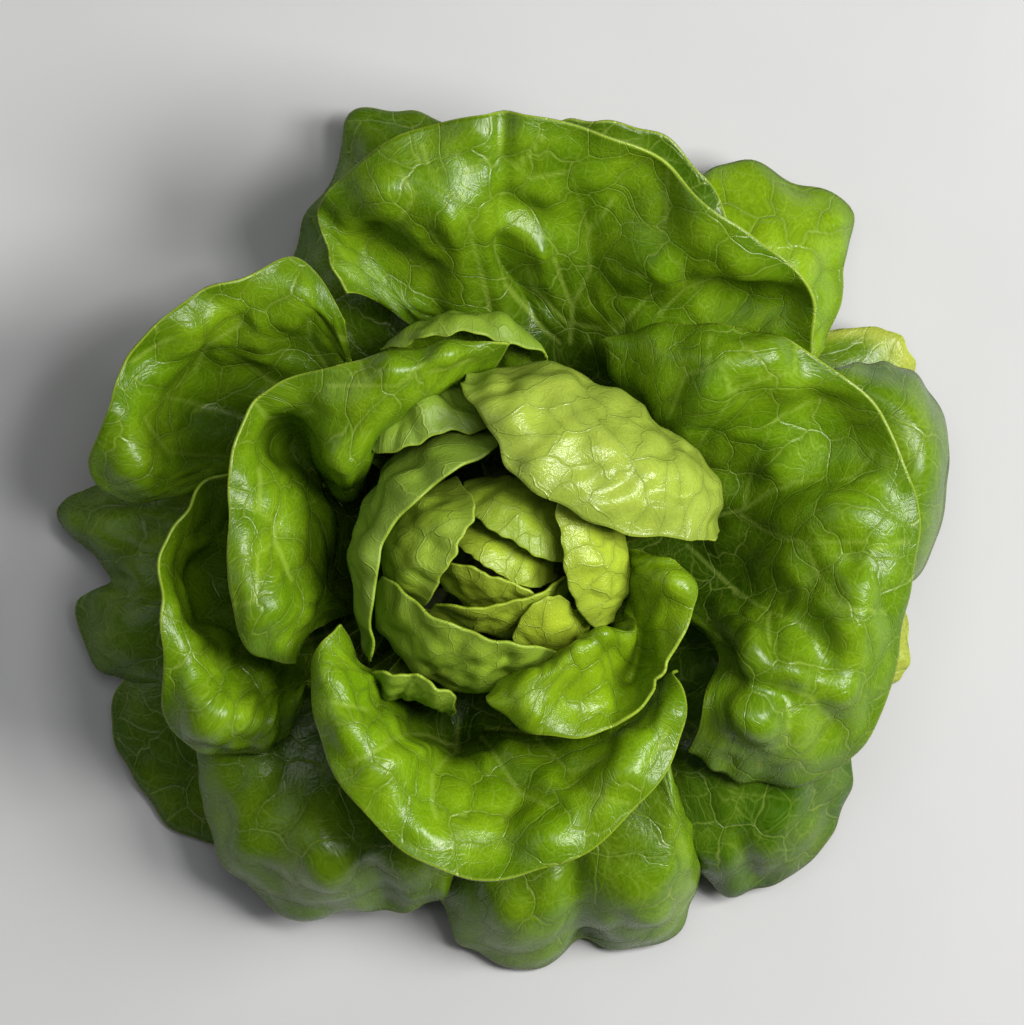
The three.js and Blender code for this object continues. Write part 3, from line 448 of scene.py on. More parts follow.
class LettuceSizes(bpy.types.PropertyGroup):
    """Sizes shared by every leaf, and the stem's."""

    blade: length("Blade thickness", "Thickness of a leaf between its veins", 0.45 * MM)
    rib: length("Rib thickness", "Thickness of a leaf's midrib at its foot", 3.4 * MM)
    stem_radius: length("Stem radius", "Radius of the stem at its widest", 14 * MM)
    stem_height: length("Stem height", "From the cut face to the growing tip", 50 * MM)
    lowest_joint: length("Lowest joint", "Height of the outermost leaf's foot", 5 * MM)
    joint_pitch: length("Joint pitch", "Climb from one leaf's foot to the next", 1.35 * MM)
    joint_half_width: length("Joint half width", "Half the width of a leaf's foot", 8 * MM)
    seed: bpy.props.IntProperty(name="Seed", description="Seed of the blisters and swells", default=7)


class LettuceColours(bpy.types.PropertyGroup):
    """Colours of the lettuce and of the table it stands on."""

    wax: colour("Waxy green", "Pale blade of the leaf domed over the heart", "#87983e")
    yellow: colour("Yellowed tip", "Tip of an old leaf next to the table", "#c9cf5a")
    heart: colour("Heart green", "Blade of the innermost leaves", "#abbd1c")
    middle: colour("Middle green", "Blade of the middle leaves", "#6a9008")
    outer: colour("Outer green", "Blade of the outermost leaves", "#3a5d05")
    vein: colour("Vein", "Veins and midrib", "#b3cb58")
    margin: colour("Margin", "Thin edge of a blade", "#c3d84a")
    stalk: colour("Stalk", "Foot of a leaf, near the stem", "#dfe6bd")
    glow: colour("Glow", "Light that comes through a blade", "#b5d52a")
    stem: colour("Stem", "Skin of the stem", "#cfd3a2")
    cut: colour("Cut", "Browned centre of the stem's cut", "#a98f5c")
    floor: colour("Table", "Paper under the lettuce", "#b8b8b9")


# Curves and fields. They work on many points at once.


def spline(points, t):
    """Smooth curves through points[0], points[1] ...: points is (k, m, 3) for m curves, t runs from 0 to 1."""
    first = 2 * points[0] - points[1]
    last = 2 * points[-1] - points[-2]
    padded = np.concatenate([first[None], points, last[None]])
    place = np.clip(t, 0, 1) * (len(points) - 1)
    k = np.minimum(place.astype(int), len(points) - 2)
    w = (place - k)[:, None, None]
    p0, p1, p2, p3 = (padded[k + n] for n in range(4))
    d0, d1, d2 = (
        np.maximum(np.linalg.norm(b - a, axis=-1, keepdims=True), 1e-6) ** 0.5
        for a, b in ((p0, p1), (p1, p2), (p2, p3))
    )
    m1 = ((p1 - p0) / d0 - (p2 - p0) / (d0 + d1) + (p2 - p1) / d1) * d1
    m2 = ((p2 - p1) / d1 - (p3 - p1) / (d1 + d2) + (p3 - p2) / d2) * d1
    return p1 + m1 * w + (3 * (p2 - p1) - 2 * m1 - m2) * w**2 + (2 * (p1 - p2) + m1 + m2) * w**3


def ease(x, low, high):
    """0 below low, 1 above high, smooth between."""
    t = np.clip((x - low) / (high - low), 0, 1)
    return t * t * (3 - 2 * t)


def swells(points, rng, wavelengths):
    """Gentle irregular waves over a plane, between about -1 and 1."""
    total = np.zeros(len(points))
    for wavelength in wavelengths:
        for _ in range(3):
            turn = rng.uniform(0, 2 * math.pi)
            phase = rng.uniform(0, 2 * math.pi)
            across = points @ np.array([math.cos(turn), math.sin(turn)])
            total += np.sin(across * 2 * math.pi / wavelength + phase)
    return total / (2.0 * len(wavelengths))


def cell_pattern(points, scale):
    """Voronoi cells over a plane: the distance to the nearest border and a random number for each cell.

    The texture node itself works them out, so that relief made with them lies under the material's lines."""
    mesh = bpy.data.meshes.new("pattern")
    mesh.vertices.add(len(points))
    mesh.vertices.foreach_set("co", np.pad(points, ((0, 0), (0, 1))).ravel())
    tree = bpy.data.node_groups.new("pattern", "GeometryNodeTree")
    tree.interface.new_socket("Points", in_out="INPUT", socket_type="NodeSocketGeometry")
    tree.interface.new_socket("Points", in_out="OUTPUT", socket_type="NodeSocketGeometry")
    place = node(tree, "GeometryNodeInputPosition").outputs[0]
    flow = node(tree, "NodeGroupInput").outputs[0]
    for key, feature, output in (("border", "DISTANCE_TO_EDGE", "Distance"), ("cell", "F1", "Color")):
        value = voronoi(tree, place, scale, feature).outputs[output]
        if output == "Color":
            value = node(tree, "FunctionNodeSeparateColor", {0: value}).outputs[0]
        stored = node(tree, "GeometryNodeStoreNamedAttribute", {"Geometry": flow, "Name": key, "Value": value})
        flow = stored.outputs[0]
    node(tree, "NodeGroupOutput", {0: flow})
    holder = bpy.data.objects.new("pattern", mesh)
    bpy.context.scene.collection.objects.link(holder)
    holder.modifiers.new("pattern", "NODES").node_group = tree
    made = holder.evaluated_get(bpy.context.evaluated_depsgraph_get()).data
    found = []
    for key in ("border", "cell"):
        values = np.empty(len(points), np.float32)
        made.attributes[key].data.foreach_get("value", values)
        found.append(values.astype(float))
    bpy.data.objects.remove(holder)
    bpy.data.meshes.remove(mesh)
    bpy.data.node_groups.remove(tree)
    return found


def distance_to_path(points, path):
    """How far each point of a plane is from a line through the path's points."""
    path = np.array(path, float)
    nearest = np.linalg.norm(points - path[0], axis=1)
    for a, b in zip(path[:-1], path[1:]):
        along = b - a
        share = np.clip(((points - a) @ along) / (along @ along), 0, 1)
        nearest = np.minimum(nearest, np.linalg.norm(points - a - share[:, None] * along, axis=1))
    return nearest


def vein_strength(points, veins, reach):
    """How strongly the main veins show at each point, 1 on a thick vein; reach widens them."""
    strength = np.zeros(len(points))
    for path, thickness in veins:
        for n, wide in enumerate(thickness):
            gap = distance_to_path(points, path[n : n + 2])
            strength = np.maximum(strength, wide * np.exp(-((gap / reach) ** 2)))
    return strength


def main_veins(tall, rng):
    """Midrib, side veins and their forks as (path, strength of each step) in the leaf's own plane."""

    def path(start, bearing, reach, bend, thick, thin, steps=9):
        points = [np.array(start, float)]
        for n in range(steps):
            bearing += bend / steps + rng.uniform(-0.07, 0.07)
            step = reach / steps
            points.append(points[-1] + step * np.array([math.sin(bearing), math.cos(bearing)]))
        return np.array(points), np.linspace(thick, thin, steps)

    veins = [path((0, 0), 0, 0.95 * tall, rng.uniform(-0.12, 0.12), 1.0, 0.35, VEIN_STEPS)]
    midrib = veins[0][0]
    for side in (-1, 1):
        for share in (0.2, 0.33, 0.46, 0.58, 0.7, 0.82):
            share += rng.uniform(-0.025, 0.025) + 0.03 * side
            place = share * VEIN_STEPS
            start = midrib[int(place)] + (place % 1) * (midrib[int(place) + 1] - midrib[int(place)])
            bearing = side * (1.15 - 0.7 * share + rng.uniform(-0.08, 0.08))
            reach = tall * (0.85 - 0.5 * share)
            branch = path(start, bearing, reach, -side * 0.35, 0.75 - 0.3 * share, 0.2)
            veins.append(branch)
            for fork in (3, 6):
                turn = side * rng.uniform(0.45, 0.7) * (1 if fork == 3 else -1)
                way = branch[0][fork] - branch[0][fork - 1]
                veins.append(
                    path(branch[0][fork], math.atan2(way[0], way[1]) + turn, reach * 0.45, 0, 0.42, 0.12, 6)
                )
    return veins


# The leaf.


def stem_radius_at(height, sizes):
    share = min(max(height / sizes.stem_height, 0), 1)
    return sizes.stem_radius * math.sqrt(1 - share**2.6)


def net_rows(name, sizes):
    """The rows of a leaf's net, from its foot on the stem to its rim: an array (rows, rays, 3) in mm."""
    order, toward, (x, y, z, half_width), rings = LEAVES[name]
    side = np.linspace(-1, 1, len(rings[0]))
    height = sizes.lowest_joint / MM + (len(LEAVES) - 1 - order) * sizes.joint_pitch / MM
    radius = stem_radius_at(height * MM, sizes) / MM + 1.0
    angle = math.radians(toward) + side * min(sizes.joint_half_width / MM / radius, 1.1)
    foot = np.stack([radius * np.cos(angle), radius * np.sin(angle), np.full(len(side), height)], 1)
    out = np.array([x, y]) / math.hypot(x, y)
    inward = 0.35 * half_width * side**2
    neck = np.stack(
        [
            x - out[1] * side * half_width - out[0] * inward,
            y + out[0] * side * half_width - out[1] * inward,
            z + 0.25 * half_width * side**2,
        ],
        1,
    )
    return np.array([foot, neck, *rings], float)


def even_steps(curve, count):
    """The same line, cut into count even steps."""
    gone = np.concatenate([[0], np.cumsum(np.linalg.norm(np.diff(curve, axis=0), axis=1))])
    wanted = np.linspace(0, gone[-1], count + 1)
    return np.stack([np.interp(wanted, gone, curve[:, k]) for k in range(3)], 1)


def smooth_blade(name, look, sizes, rng):
    """The blade's inner face before it is puckered: an array (rows + 1, columns + 1, 3) in mm."""
    rows = spline(net_rows(name, sizes), np.linspace(0, 1, SHEET_STEPS))
    rays = np.stack([even_steps(rows[:, n], RAY_STEPS) for n in range(rows.shape[1])])
    across = np.linspace(0, 1, SHEET_STEPS)
    widths = np.linalg.norm(np.diff(spline(rays, across), axis=0), axis=-1).mean(1)
    gone = np.concatenate([[0], np.cumsum(widths)])
    even = np.interp(np.linspace(0, gone[-1], look["columns"] + 1), gone, across)
    sheet = spline(rays, even)
    side = np.linspace(-1, 1, look["columns"] + 1)
    bite = 0.006 * np.sin(side * rng.uniform(7, 10) + rng.uniform(0, 6))
    bite += 0.004 * np.sin(side * rng.uniform(17, 23) + rng.uniform(0, 6))
    longest = 1 - look["corner"] * np.abs(side) ** 5 - 0.01 + bite
    blade = np.empty((look["rows"] + 1, look["columns"] + 1, 3))
    for n, reach in enumerate(longest):
        place = np.linspace(0, reach, look["rows"] + 1) * RAY_STEPS
        for k in range(3):
            blade[:, n, k] = np.interp(place, np.arange(RAY_STEPS + 1), sheet[n, :, k])
    return blade


def inner_normals(blade):
    outward = np.gradient(blade, axis=0)
    sideways = np.gradient(blade, axis=1)
    normal = np.cross(outward, sideways)
    return normal / np.maximum(np.linalg.norm(normal, axis=-1, keepdims=True), 1e-9)


def flat_plane(blade):
    """Each point's place on the leaf pressed flat, foot at the origin and midrib along +Y, in mm."""
    along = np.linalg.norm(np.diff(blade, axis=0), axis=-1)
    along = np.concatenate([np.zeros((1, blade.shape[1])), np.cumsum(along, axis=0)])
    across = np.linalg.norm(np.diff(blade, axis=1), axis=-1)
    across = np.concatenate([np.zeros((blade.shape[0], 1)), np.cumsum(across, axis=1)], axis=1)
    side = across - across[:, -1:] / 2
    turn = side / np.maximum(along, 12)
    plane = np.stack([along * np.sin(turn), along * np.cos(turn)], -1)
    to_rim = along[-1] - along
    to_side = across[:, -1:] / 2 - np.abs(side)
    return plane, np.minimum(to_rim, to_side), along / along[-1]


def softened(field, times):
    """A field over the blade's grid with its sharp creases rounded."""
    for _ in range(times):
        for axis in (0, 1):
            field = (np.roll(field, 1, axis) + 2 * field + np.roll(field, -1, axis)) / 4
    return field


def leaf_surface(name, sizes):
    """A leaf's inner face and what its material reads, one value to each point."""
    group = next(g for g in LOOKS if name.startswith(g))
    look = {**LOOKS[group], **OWN_LOOKS.get(name, {})}
    rng = np.random.default_rng(sizes.seed * 100 + LEAVES[name][0])
    blade = smooth_blade(name, look, sizes, rng)
    plane, to_margin, reach = flat_plane(blade)
    shape = reach.shape
    flat = plane.reshape(-1, 2)
    to_margin = to_margin.ravel()
    reach = reach.ravel()
    open_blade = ease(reach, 0.12, 0.4)

    drift = np.stack([swells(flat, rng, (26, 15)), swells(flat, rng, (26, 15))], 1)
    waver = np.stack([swells(flat, rng, (9, 5.5)), swells(flat, rng, (9, 5.5))], 1)
    flat = (flat + drift * 0.16 * look["cell"] + waver * 0.8) / look["cell"] + LEAVES[name][0] * 3.7
    border, cell = cell_pattern(flat, 1.0)
    small_border, small_cell = cell_pattern(flat, 2.4)
    above = blade[..., :2].reshape(-1, 2)
    if name in VEINS:
        veins = [(np.array(path), np.linspace(0.95, 0.45, len(path) - 1)) for path in VEINS[name]]
        crisp, broad = (vein_strength(above, veins, wide) for wide in (0.8, 3.6))
    else:
        veins = main_veins(plane[..., 1].max(), rng)
        crisp, broad = (vein_strength(plane.reshape(-1, 2), veins, wide) for wide in (0.9, 3.8))

    dome = 1 - (1 - np.clip(border / 0.42, 0, 1)) ** 2.4
    small_dome = 1 - (1 - np.clip(small_border / 0.42, 0, 1)) ** 2
    near_margin = ease(to_margin, 0, 9)
    puff = look["puff"] * (0.7 if name in VEINS else 1.0)
    puffed = puff * dome * (0.35 + 1.3 * cell) * open_blade * (0.35 + 0.65 * near_margin)
    puffed += 0.12 * puff * small_dome * (0.5 + small_cell) * open_blade
    puffed *= 1 - 0.7 * broad * open_blade
    trough = 0.9 * look["puff"] * broad * open_blade
    pressed = plane.reshape(-1, 2)
    waves = (30, 19) if look["cell"] > 12 else (19, 12)
    ripple = look["ruffle"] * swells(pressed, rng, waves) * (1 - ease(to_margin, 2, RIPPLE_EDGE)) * open_blade
    broad_swell = look["wave"] * swells(pressed, rng, (62, 40)) * open_blade
    pillows = softened((puffed - trough).reshape(shape), 5).ravel()
    height = pillows + 1.4 * ripple + broad_swell
    for *path, wide, tall in FOLDS.get(name, ()):
        height += tall * np.exp(-((distance_to_path(above, np.reshape(path, (-1, 2))) / wide) ** 2))
    surface = blade + inner_normals(blade) * height.reshape(shape)[..., None]
    surface[..., 2] = np.maximum(surface[..., 2], LOWEST)

    middle = plane[..., 0].ravel()
    midrib = np.exp(-((middle / (4.5 - 3 * reach)) ** 2)) * (1 - ease(reach, 0.05, 0.9))
    values = {
        "vein": np.clip(crisp * open_blade, 0, 1),
        # puff is the mask for the shade painted into the grooves between blisters.
        "puff": np.clip(dome * near_margin, 0, 1),
        "margin": np.clip(to_margin / 10, 0, 1),
        "reach": reach,
        "tone": np.full(len(reach), look["tone"]),
        "yellow": look.get("yellow", 0) * ease(reach + 0.015 * broad_swell, 0.91, 1.0),
    }
    return surface, flat, values, np.clip(midrib, 0, 1)


def sort_faces(bm):
    """Puts the faces in the order of their corners, as a spin leaves them in another order each time."""
    bm.verts.index_update()

    def rank(face):
        corners = [vert.index for vert in face.verts]
        return min(corners) + max(corners) / len(bm.verts)

    bm.faces.sort(key=rank)


def new_object(name, bm, materials):
    mesh = bpy.data.meshes.new(name)
    bm.to_mesh(mesh)
    bm.free()
    for material in materials:
        mesh.materials.append(material)
    mesh.shade_smooth()
    made = bpy.data.objects.new(name, mesh)
    bpy.context.scene.collection.objects.link(made)
    return made


def make_leaf(name, materials, sizes):
    surface, flat, values, midrib = leaf_surface(name, sizes)
    rows, columns = surface.shape[:2]
    bm = bmesh.new()
    bmesh.ops.create_grid(bm, x_segments=columns - 1, y_segments=rows - 1, size=1)
    leaf = new_object(name.replace("leaf", "blade"), bm, materials)
    mesh = leaf.data
    grid = np.empty(len(mesh.vertices) * 3)
    mesh.vertices.foreach_get("co", grid)
    grid = grid.reshape(-1, 3)
    column = np.rint((grid[:, 0] + 1) / 2 * (columns - 1)).astype(int)
    row = np.rint((grid[:, 1] + 1) / 2 * (rows - 1)).astype(int)
    place = row * columns + column
    mesh.vertices.foreach_set("co", (surface.reshape(-1, 3)[place] * MM).ravel())
    for key, value in values.items():
        mesh.attributes.new(key, "FLOAT", "POINT").data.foreach_set("value", value[place].astype(np.float32))
    corners = np.empty(len(mesh.loops), int)
    mesh.loops.foreach_get("vertex_index", corners)
    pressed = mesh.uv_layers.new(name="pressed_flat")
    pressed.data.foreach_set("uv", flat[place][corners].ravel().astype(np.float32))
    # The grid's rows run outwards and its columns anticlockwise, so its faces look out of the blade's back.
    mesh.flip_normals()
    group = leaf.vertex_groups.new(name="thickness")
    thin = sizes.blade / sizes.rib
    weights = thin + (1 - thin) * midrib[place]
    for level in range(THICKNESS_LEVELS + 1):
        chosen = np.flatnonzero(np.rint(weights * THICKNESS_LEVELS) == level)
        if len(chosen):
            group.add(chosen.tolist(), level / THICKNESS_LEVELS, "REPLACE")
    solid = leaf.modifiers.new("Blade thickness", "SOLIDIFY")
    solid.thickness = sizes.rib
    solid.offset = -1
    solid.vertex_group = "thickness"
    solid.thickness_vertex_group = thin
    solid.use_even_offset = False
    solid.material_offset = 1
    solid.material_offset_rim = 0
    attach(leaf, "root")
    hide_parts(name)
    return leaf


# Materials.


def node(tree, kind, inputs=None, **settings):
    """Adds one node; inputs feeds its sockets, each with a value or another node's output."""
    made = tree.nodes.new(kind)
    for key, value in settings.items():
        setattr(made, key, value)
    for key, value in (inputs or {}).items():
        if isinstance(value, bpy.types.NodeSocket):
            tree.links.new(value, made.inputs[key])
        else:
            made.inputs[key].default_value = value
    return made


def new_material(name):
    material = bpy.data.materials.new(name)
    material.use_nodes = True
    material.node_tree.nodes.clear()
    return material, material.node_tree


def blended(tree, factor, a, b, kind="MIX"):
    """a and b mixed; each is a node's output or a linear red, green and blue."""
    a, b = (side if isinstance(side, bpy.types.NodeSocket) else (*side, 1.0) for side in (a, b))
    made = node(tree, "ShaderNodeMix", {0: factor, 6: a, 7: b}, data_type="RGBA", blend_type=kind)
    return made.outputs[2]


def stretched(tree, value, low, high, to_low=0.0, to_high=1.0):
    sockets = {"Value": value, "From Min": low, "From Max": high, "To Min": to_low, "To Max": to_high}
    return node(tree, "ShaderNodeMapRange", sockets).outputs[0]


def voronoi(tree, place, scale, feature):
    sockets = {"Vector": place, "Scale": scale}
    return node(tree, "ShaderNodeTexVoronoi", sockets, voronoi_dimensions="2D", feature=feature)


def multiplied(tree, a, b):
    return node(tree, "ShaderNodeMath", {0: a, 1: b}, operation="MULTIPLY").outputs[0]


def leaf_material(name, colours, back):
    """One face of a blade. The inner face is glossy and green with pale veins; the back is paler and duller."""
    material, tree = new_material(name)
    read = {
        key: node(tree, "ShaderNodeAttribute", attribute_name=key).outputs["Fac"]
        for key in ("vein", "puff", "margin", "reach", "tone", "yellow")
    }
    # Place on the leaf pressed flat, one unit to a blister, so that the pattern bends with the blade.
    flat = node(tree, "ShaderNodeUVMap", uv_map="pressed_flat").outputs["UV"]

    def noise(scale, detail):
        sockets = {"Vector": flat, "Scale": scale, "Detail": detail}
        return node(tree, "ShaderNodeTexNoise", sockets, noise_dimensions="2D").outputs[0]

    def lines(scale, width):
        """1 on the borders of the cells, 0 from width inwards."""
        to_border = voronoi(tree, flat, scale, "DISTANCE_TO_EDGE").outputs[0]
        return stretched(tree, to_border, 0.0, width, 1.0, 0.0)

    patches, grain, wrinkle = noise(0.6, 3.0), noise(16.0, 2.0), noise(3.2, 3.0)
    side_veins, small_veins, threads = lines(1.0, 0.03), lines(2.4, 0.06), lines(6.0, 0.12)

    # Green of the blade, from the pale heart to the deep outer leaves, and patchy like a living leaf.
    young = blended(tree, stretched(tree, read["tone"], 0.0, 0.5), colours.heart, colours.middle)
    young = blended(tree, stretched(tree, read["tone"], -0.5, 0.0, 1.0, 0.0), young, colours.wax)
    green = blended(tree, stretched(tree, read["tone"], 0.5, 1.0), young, colours.outer)
    green = blended(tree, read["yellow"], green, colours.yellow)
    green = blended(tree, stretched(tree, patches, 0.35, 0.7, 0.0, 0.16), green, colours.glow)
    lighter = blended(tree, stretched(tree, grain, 0.3, 0.75), (0.86, 0.88, 0.8), (1.14, 1.12, 1.1))
    green = blended(tree, 1.0, green, lighter, "MULTIPLY")
    # Painted shade: the grooves between blisters are painted a deeper green than their domes, for the shade that
    # falls in them.
    green = blended(tree, stretched(tree, read["puff"], 0, 0.8, 0.38, 0.0), green, (0.02, 0.06, 0.0))
    if not back:
        # Painted shade: deep in the head, near the foot, a blade's inner face is painted a darker green for the
        # shade the leaves above cast there.
        green = blended(tree, stretched(tree, read["reach"], 0.4, 0.76, 0.8, 0.0), green, (0.01, 0.035, 0.0))
    # Veins in three sizes, each paler than the blade and fainter on the pale heart leaves.
    shows = stretched(tree, read["tone"], 0.1, 0.6, 0.25, 1.0)
    main_vein = stretched(tree, read["vein"], 0.25, 0.9)
    for shown, amount in ((threads, 0.05), (small_veins, 0.10), (side_veins, 0.22), (main_vein, 0.26)):
        share = multiplied(tree, multiplied(tree, shown, amount), shows)
        green = blended(tree, share, green, colours.vein)
    # A thin pale line along the margin, and a pale stalk near the stem.
    green = blended(tree, stretched(tree, read["margin"], 0.0, 0.07, 0.4, 0.0), green, colours.margin)
    green = blended(tree, stretched(tree, read["reach"], 0.04, 0.2, 0.9, 0.0), green, colours.stalk)
    if back:
        green = blended(tree, 0.25, green, colours.vein)

    # Fine relief in mm: veins stand out on the back and sink in on the inner face, and the skin is grained.
    sign = 1 if back else -1
    relief = multiplied(tree, wrinkle, 0.28)
    raised = ((grain, 0.13), (threads, 0.02 * sign), (small_veins, 0.07 * sign), (side_veins, 0.2 * sign))
    for shown, tall in raised:
        relief = node(tree, "ShaderNodeMath", {0: shown, 1: tall, 2: relief}, operation="MULTIPLY_ADD").outputs[0]
    bump = node(tree, "ShaderNodeBump", {"Strength": 0.8, "Distance": MM, "Height": relief})
    gloss = stretched(tree, grain, 0.2, 0.8, 0.36 if back else 0.20, 0.52 if back else 0.37)
    gloss = multiplied(tree, gloss, stretched(tree, read["tone"], 0.0, 0.6, 0.46, 1.0))
    coat = {"Base Color": green, "Roughness": gloss, "Normal": bump.outputs[0], "IOR": 1.4}
    skin = node(tree, "ShaderNodeBsdfPrincipled", coat)
    # Light passes through the thin blade and leaves it yellower.
    through = blended(tree, 0.75, green, colours.glow, "MULTIPLY")
    through = blended(tree, 1.0, through, (2.2, 2.2, 2.2), "MULTIPLY")
    glow = node(tree, "ShaderNodeBsdfTranslucent", {"Color": through, "Normal": bump.outputs[0]})
    both = node(tree, "ShaderNodeMixShader", {0: 0.13, 1: skin.outputs[0], 2: glow.outputs[0]})
    node(tree, "ShaderNodeOutputMaterial", {"Surface": both.outputs[0]})
    return material


def stem_material(colours):
    """Moist cut stem: pale streaked skin and a browner centre."""
    material, tree = new_material("cut_stem")
    place = node(tree, "ShaderNodeTexCoord").outputs["Object"]
    along = node(tree, "ShaderNodeVectorMath", {0: place, 1: (1, 1, 0.12)}, operation="MULTIPLY").outputs[0]
    streak = node(tree, "ShaderNodeTexNoise", {"Vector": along, "Scale": 420.0, "Detail": 4.0}).outputs[0]
    flat = node(tree, "ShaderNodeVectorMath", {0: place, 1: (1, 1, 0)}, operation="MULTIPLY").outputs[0]
    radius = node(tree, "ShaderNodeVectorMath", {0: flat}, operation="LENGTH").outputs["Value"]
    skin = blended(tree, stretched(tree, streak, 0.3, 0.7, 0.0, 0.4), colours.stem, colours.stalk)
    skin = blended(tree, stretched(tree, radius, 0.003, 0.012, 0.75, 0.0), skin, colours.cut)
    bump = node(tree, "ShaderNodeBump", {"Strength": 0.5, "Distance": 0.4 * MM, "Height": streak})
    moist = {"Base Color": skin, "Roughness": 0.55, "Normal": bump.outputs[0]}
    shader = node(tree, "ShaderNodeBsdfPrincipled", moist)
    node(tree, "ShaderNodeOutputMaterial", {"Surface": shader.outputs[0]})
    return material


def paper_material(colours):
    """Pale matte paper under the lettuce, with a faint unevenness."""
    material, tree = new_material("pale_paper")
    place = node(tree, "ShaderNodeTexCoord").outputs["Object"]
    mottle = node(tree, "ShaderNodeTexNoise", {"Vector": place, "Scale": 9.0, "Detail": 5.0}).outputs[0]
    shade = blended(tree, stretched(tree, mottle, 0.3, 0.7), (0.97, 0.97, 0.97), (1.03, 1.03, 1.03))
    paper = blended(tree, 1.0, colours.floor, shade, "MULTIPLY")
    shader = node(tree, "ShaderNodeBsdfPrincipled", {"Base Color": paper, "Roughness": 0.85})
    node(tree, "ShaderNodeOutputMaterial", {"Surface": shader.outputs[0]})
    return material


def leaf_faces(colours):
    """The two materials of every blade: glossy inner face, paler back."""
    wanted = (("leaf_inner_face", False), ("leaf_back", True))
    return [bpy.data.materials.get(name) or leaf_material(name, colours, back) for name, back in wanted]


def make_leaves(prefix, scene):
    for name in LEAVES:
        if name.startswith(prefix):
            make_leaf(name, leaf_faces(scene.lettuce_colours), scene.lettuce_sizes)


class LETTUCE_OT_stem(bpy.types.Operator):
    """Adds the cut stem that carries the leaves"""

    bl_idname = "lettuce.stem"
    bl_label = "Stem"

    def execute(self, context):
        sizes = context.scene.lettuce_sizes
        bm = bmesh.new()
        chamfer = 1.5 * MM
        profile = [(0, 0), (stem_radius_at(0, sizes) - chamfer, 0)]
        for share in np.linspace(0.03, 0.97, 24):
            height = share * sizes.stem_height
            profile.append((stem_radius_at(height, sizes), height))
        profile.append((0, sizes.stem_height))
        points = [bm.verts.new((r, 0, z)) for r, z in profile]
        edges = [bm.edges.new(pair) for pair in zip(points[:-1], points[1:])]
        bmesh.ops.spin(
            bm, geom=[*points, *edges], cent=(0, 0, 0), axis=(0, 0, 1), angle=2 * math.pi, steps=96, use_merge=True
        )
        bmesh.ops.remove_doubles(bm, verts=bm.verts, dist=0.01 * MM)
        bmesh.ops.recalc_face_normals(bm, faces=bm.faces)
        sort_faces(bm)
        made = new_object("cut_stem", bm, [stem_material(context.scene.lettuce_colours)])
        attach(made, "root")
        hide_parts("stem")
        return {"FINISHED"}


class LETTUCE_OT_heart(bpy.types.Operator):
    """Adds the small leaves of the heart and the pale leaf domed over it"""

    bl_idname = "lettuce.heart"
    bl_label = "Heart leaves"

    def execute(self, context):
        make_leaves("heart_leaf", context.scene)
        make_leaves("cap_leaf", context.scene)
        return {"FINISHED"}


class LETTUCE_OT_head(bpy.types.Operator):
    """Adds the curled leaves that wrap the heart"""

    bl_idname = "lettuce.head"
    bl_label = "Head leaves"

    def execute(self, context):
        make_leaves("head_leaf", context.scene)
        return {"FINISHED"}


class LETTUCE_OT_rosette(bpy.types.Operator):
    """Adds the large open leaves round the head"""

    bl_idname = "lettuce.rosette"
    bl_label = "Rosette leaves"

    def execute(self, context):
        make_leaves("rosette_leaf", context.scene)
        return {"FINISHED"}


class LETTUCE_OT_wrapper(bpy.types.Operator):
    """Adds the dark wrapper leaves and the lowest ones, which lie near the table"""

    bl_idname = "lettuce.wrapper"
    bl_label = "Wrapper leaves"

    def execute(self, context):
        make_leaves("wrapper_leaf", context.scene)
        make_leaves("lower_leaf", context.scene)
        return {"FINISHED"}


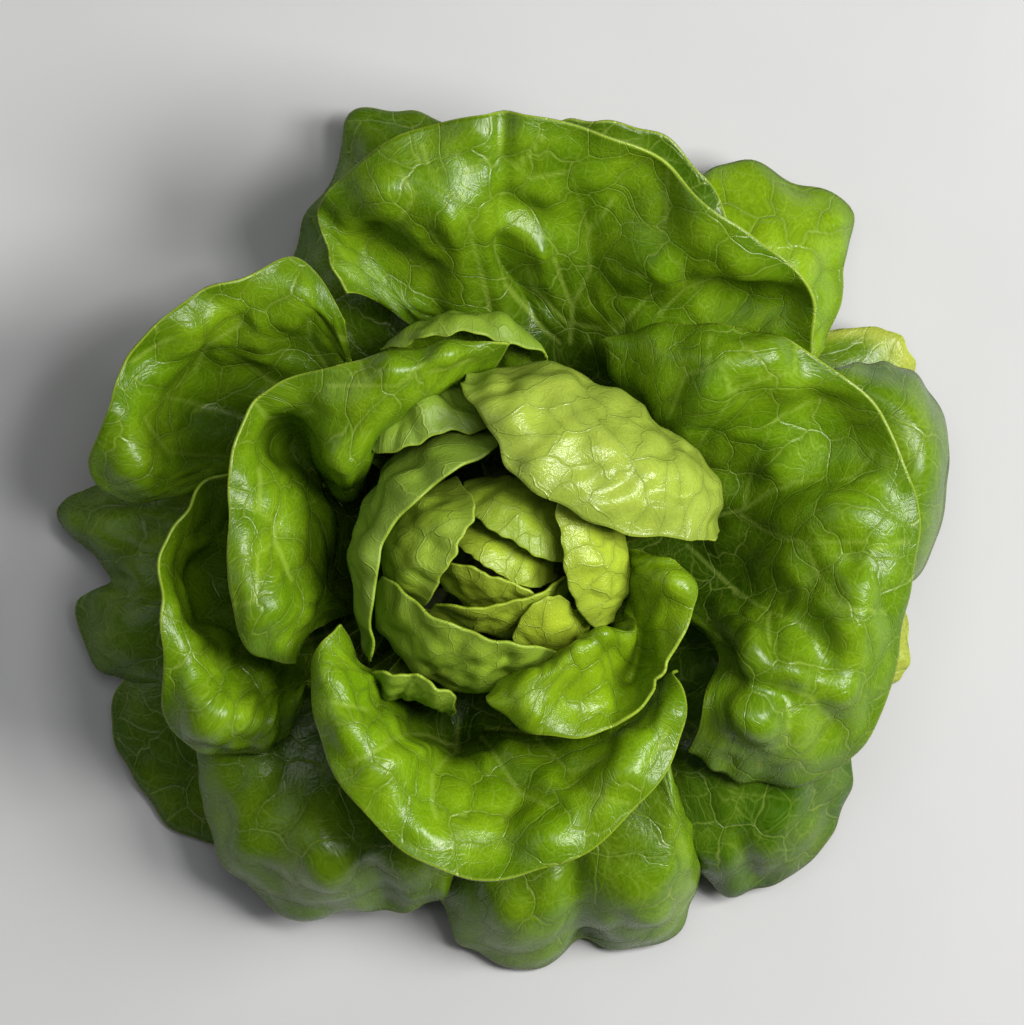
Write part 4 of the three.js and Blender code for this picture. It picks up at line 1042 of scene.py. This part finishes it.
class LETTUCE_OT_stage(bpy.types.Operator):
    """Adds the table, the soft lights and the camera above"""

    bl_idname = "lettuce.stage"
    bl_label = "Table, light and camera"

    def execute(self, context):
        scene = context.scene
        bm = bmesh.new()
        bmesh.ops.create_grid(bm, x_segments=1, y_segments=1, size=TABLE_HALF_WIDTH)
        table = new_object("table", bm, [paper_material(scene.lettuce_colours)])

        def lamp(name, place, side, watts, tint):
            light = bpy.data.lights.new(name, "AREA")
            light.shape = "SQUARE"
            light.size = side
            light.energy = watts
            light.color = tint
            made = bpy.data.objects.new(name, light)
            made.location = place
            towards_head = Vector((0, 0, 0.05)) - Vector(place)
            made.rotation_euler = towards_head.to_track_quat("-Z", "Y").to_euler()
            scene.collection.objects.link(made)

        lamp("soft_window_right", (0.93, 0.08, 1.0), 0.55, 23, (1.0, 0.99, 0.96))
        lamp("bright_pane", (0.5, 0.2, 1.35), 0.26, 6.5, (1.0, 1.0, 0.98))
        lamp("overhead_panel", (0.0, 0.4, 1.5), 0.7, 3.8, (1.0, 1.0, 1.0))
        lamp("fill_left", (-1.2, 0.2, 0.9), 1.0, 2.8, (0.97, 0.98, 1.0))
        world = bpy.data.worlds.new("pale_room")
        world.use_nodes = True
        room = world.node_tree.nodes["Background"]
        room.inputs["Color"].default_value = (0.9, 0.93, 0.95, 1)
        room.inputs["Strength"].default_value = 0.05
        scene.world = world

        lens = bpy.data.cameras.new("above")
        lens.sensor_width = SENSOR_WIDTH
        lens.lens = SENSOR_WIDTH * (CAMERA_HEIGHT - HEAD_MIDDLE) / VIEW_WIDTH
        lens.clip_start = 0.05
        camera = bpy.data.objects.new("above", lens)
        camera.location = (*VIEW_CENTRE, CAMERA_HEIGHT)
        scene.collection.objects.link(camera)
        scene.camera = camera
        scene.view_settings.view_transform = "Standard"
        return {"FINISHED"}


class LETTUCE_PT_sidebar(bpy.types.Panel):
    """Sizes, colours and the buttons that build each part"""

    bl_label = "Lettuce"
    bl_idname = "LETTUCE_PT_sidebar"
    bl_space_type = "VIEW_3D"
    bl_region_type = "UI"
    bl_category = "Lettuce"

    def draw(self, context):
        for group in (context.scene.lettuce_sizes, context.scene.lettuce_colours):
            for key in group.__annotations__:
                self.layout.prop(group, key)
        for operator in OPERATORS:
            self.layout.operator(operator.bl_idname)


OPERATORS = (
    LETTUCE_OT_stem,
    LETTUCE_OT_heart,
    LETTUCE_OT_head,
    LETTUCE_OT_rosette,
    LETTUCE_OT_wrapper,
    LETTUCE_OT_stage,
)
CLASSES = (LettuceSizes, LettuceColours, *OPERATORS, LETTUCE_PT_sidebar)


def register():
    for made in CLASSES:
        bpy.utils.register_class(made)
    bpy.types.Scene.lettuce_sizes = bpy.props.PointerProperty(type=LettuceSizes)
    bpy.types.Scene.lettuce_colours = bpy.props.PointerProperty(type=LettuceColours)


def unregister():
    del bpy.types.Scene.lettuce_sizes
    del bpy.types.Scene.lettuce_colours
    for made in reversed(CLASSES):
        bpy.utils.unregister_class(made)


def main():
    register()
    for operator in OPERATORS:
        family, verb = operator.bl_idname.split(".")
        getattr(getattr(bpy.ops, family), verb)()


if __name__ == "__main__":
    main()
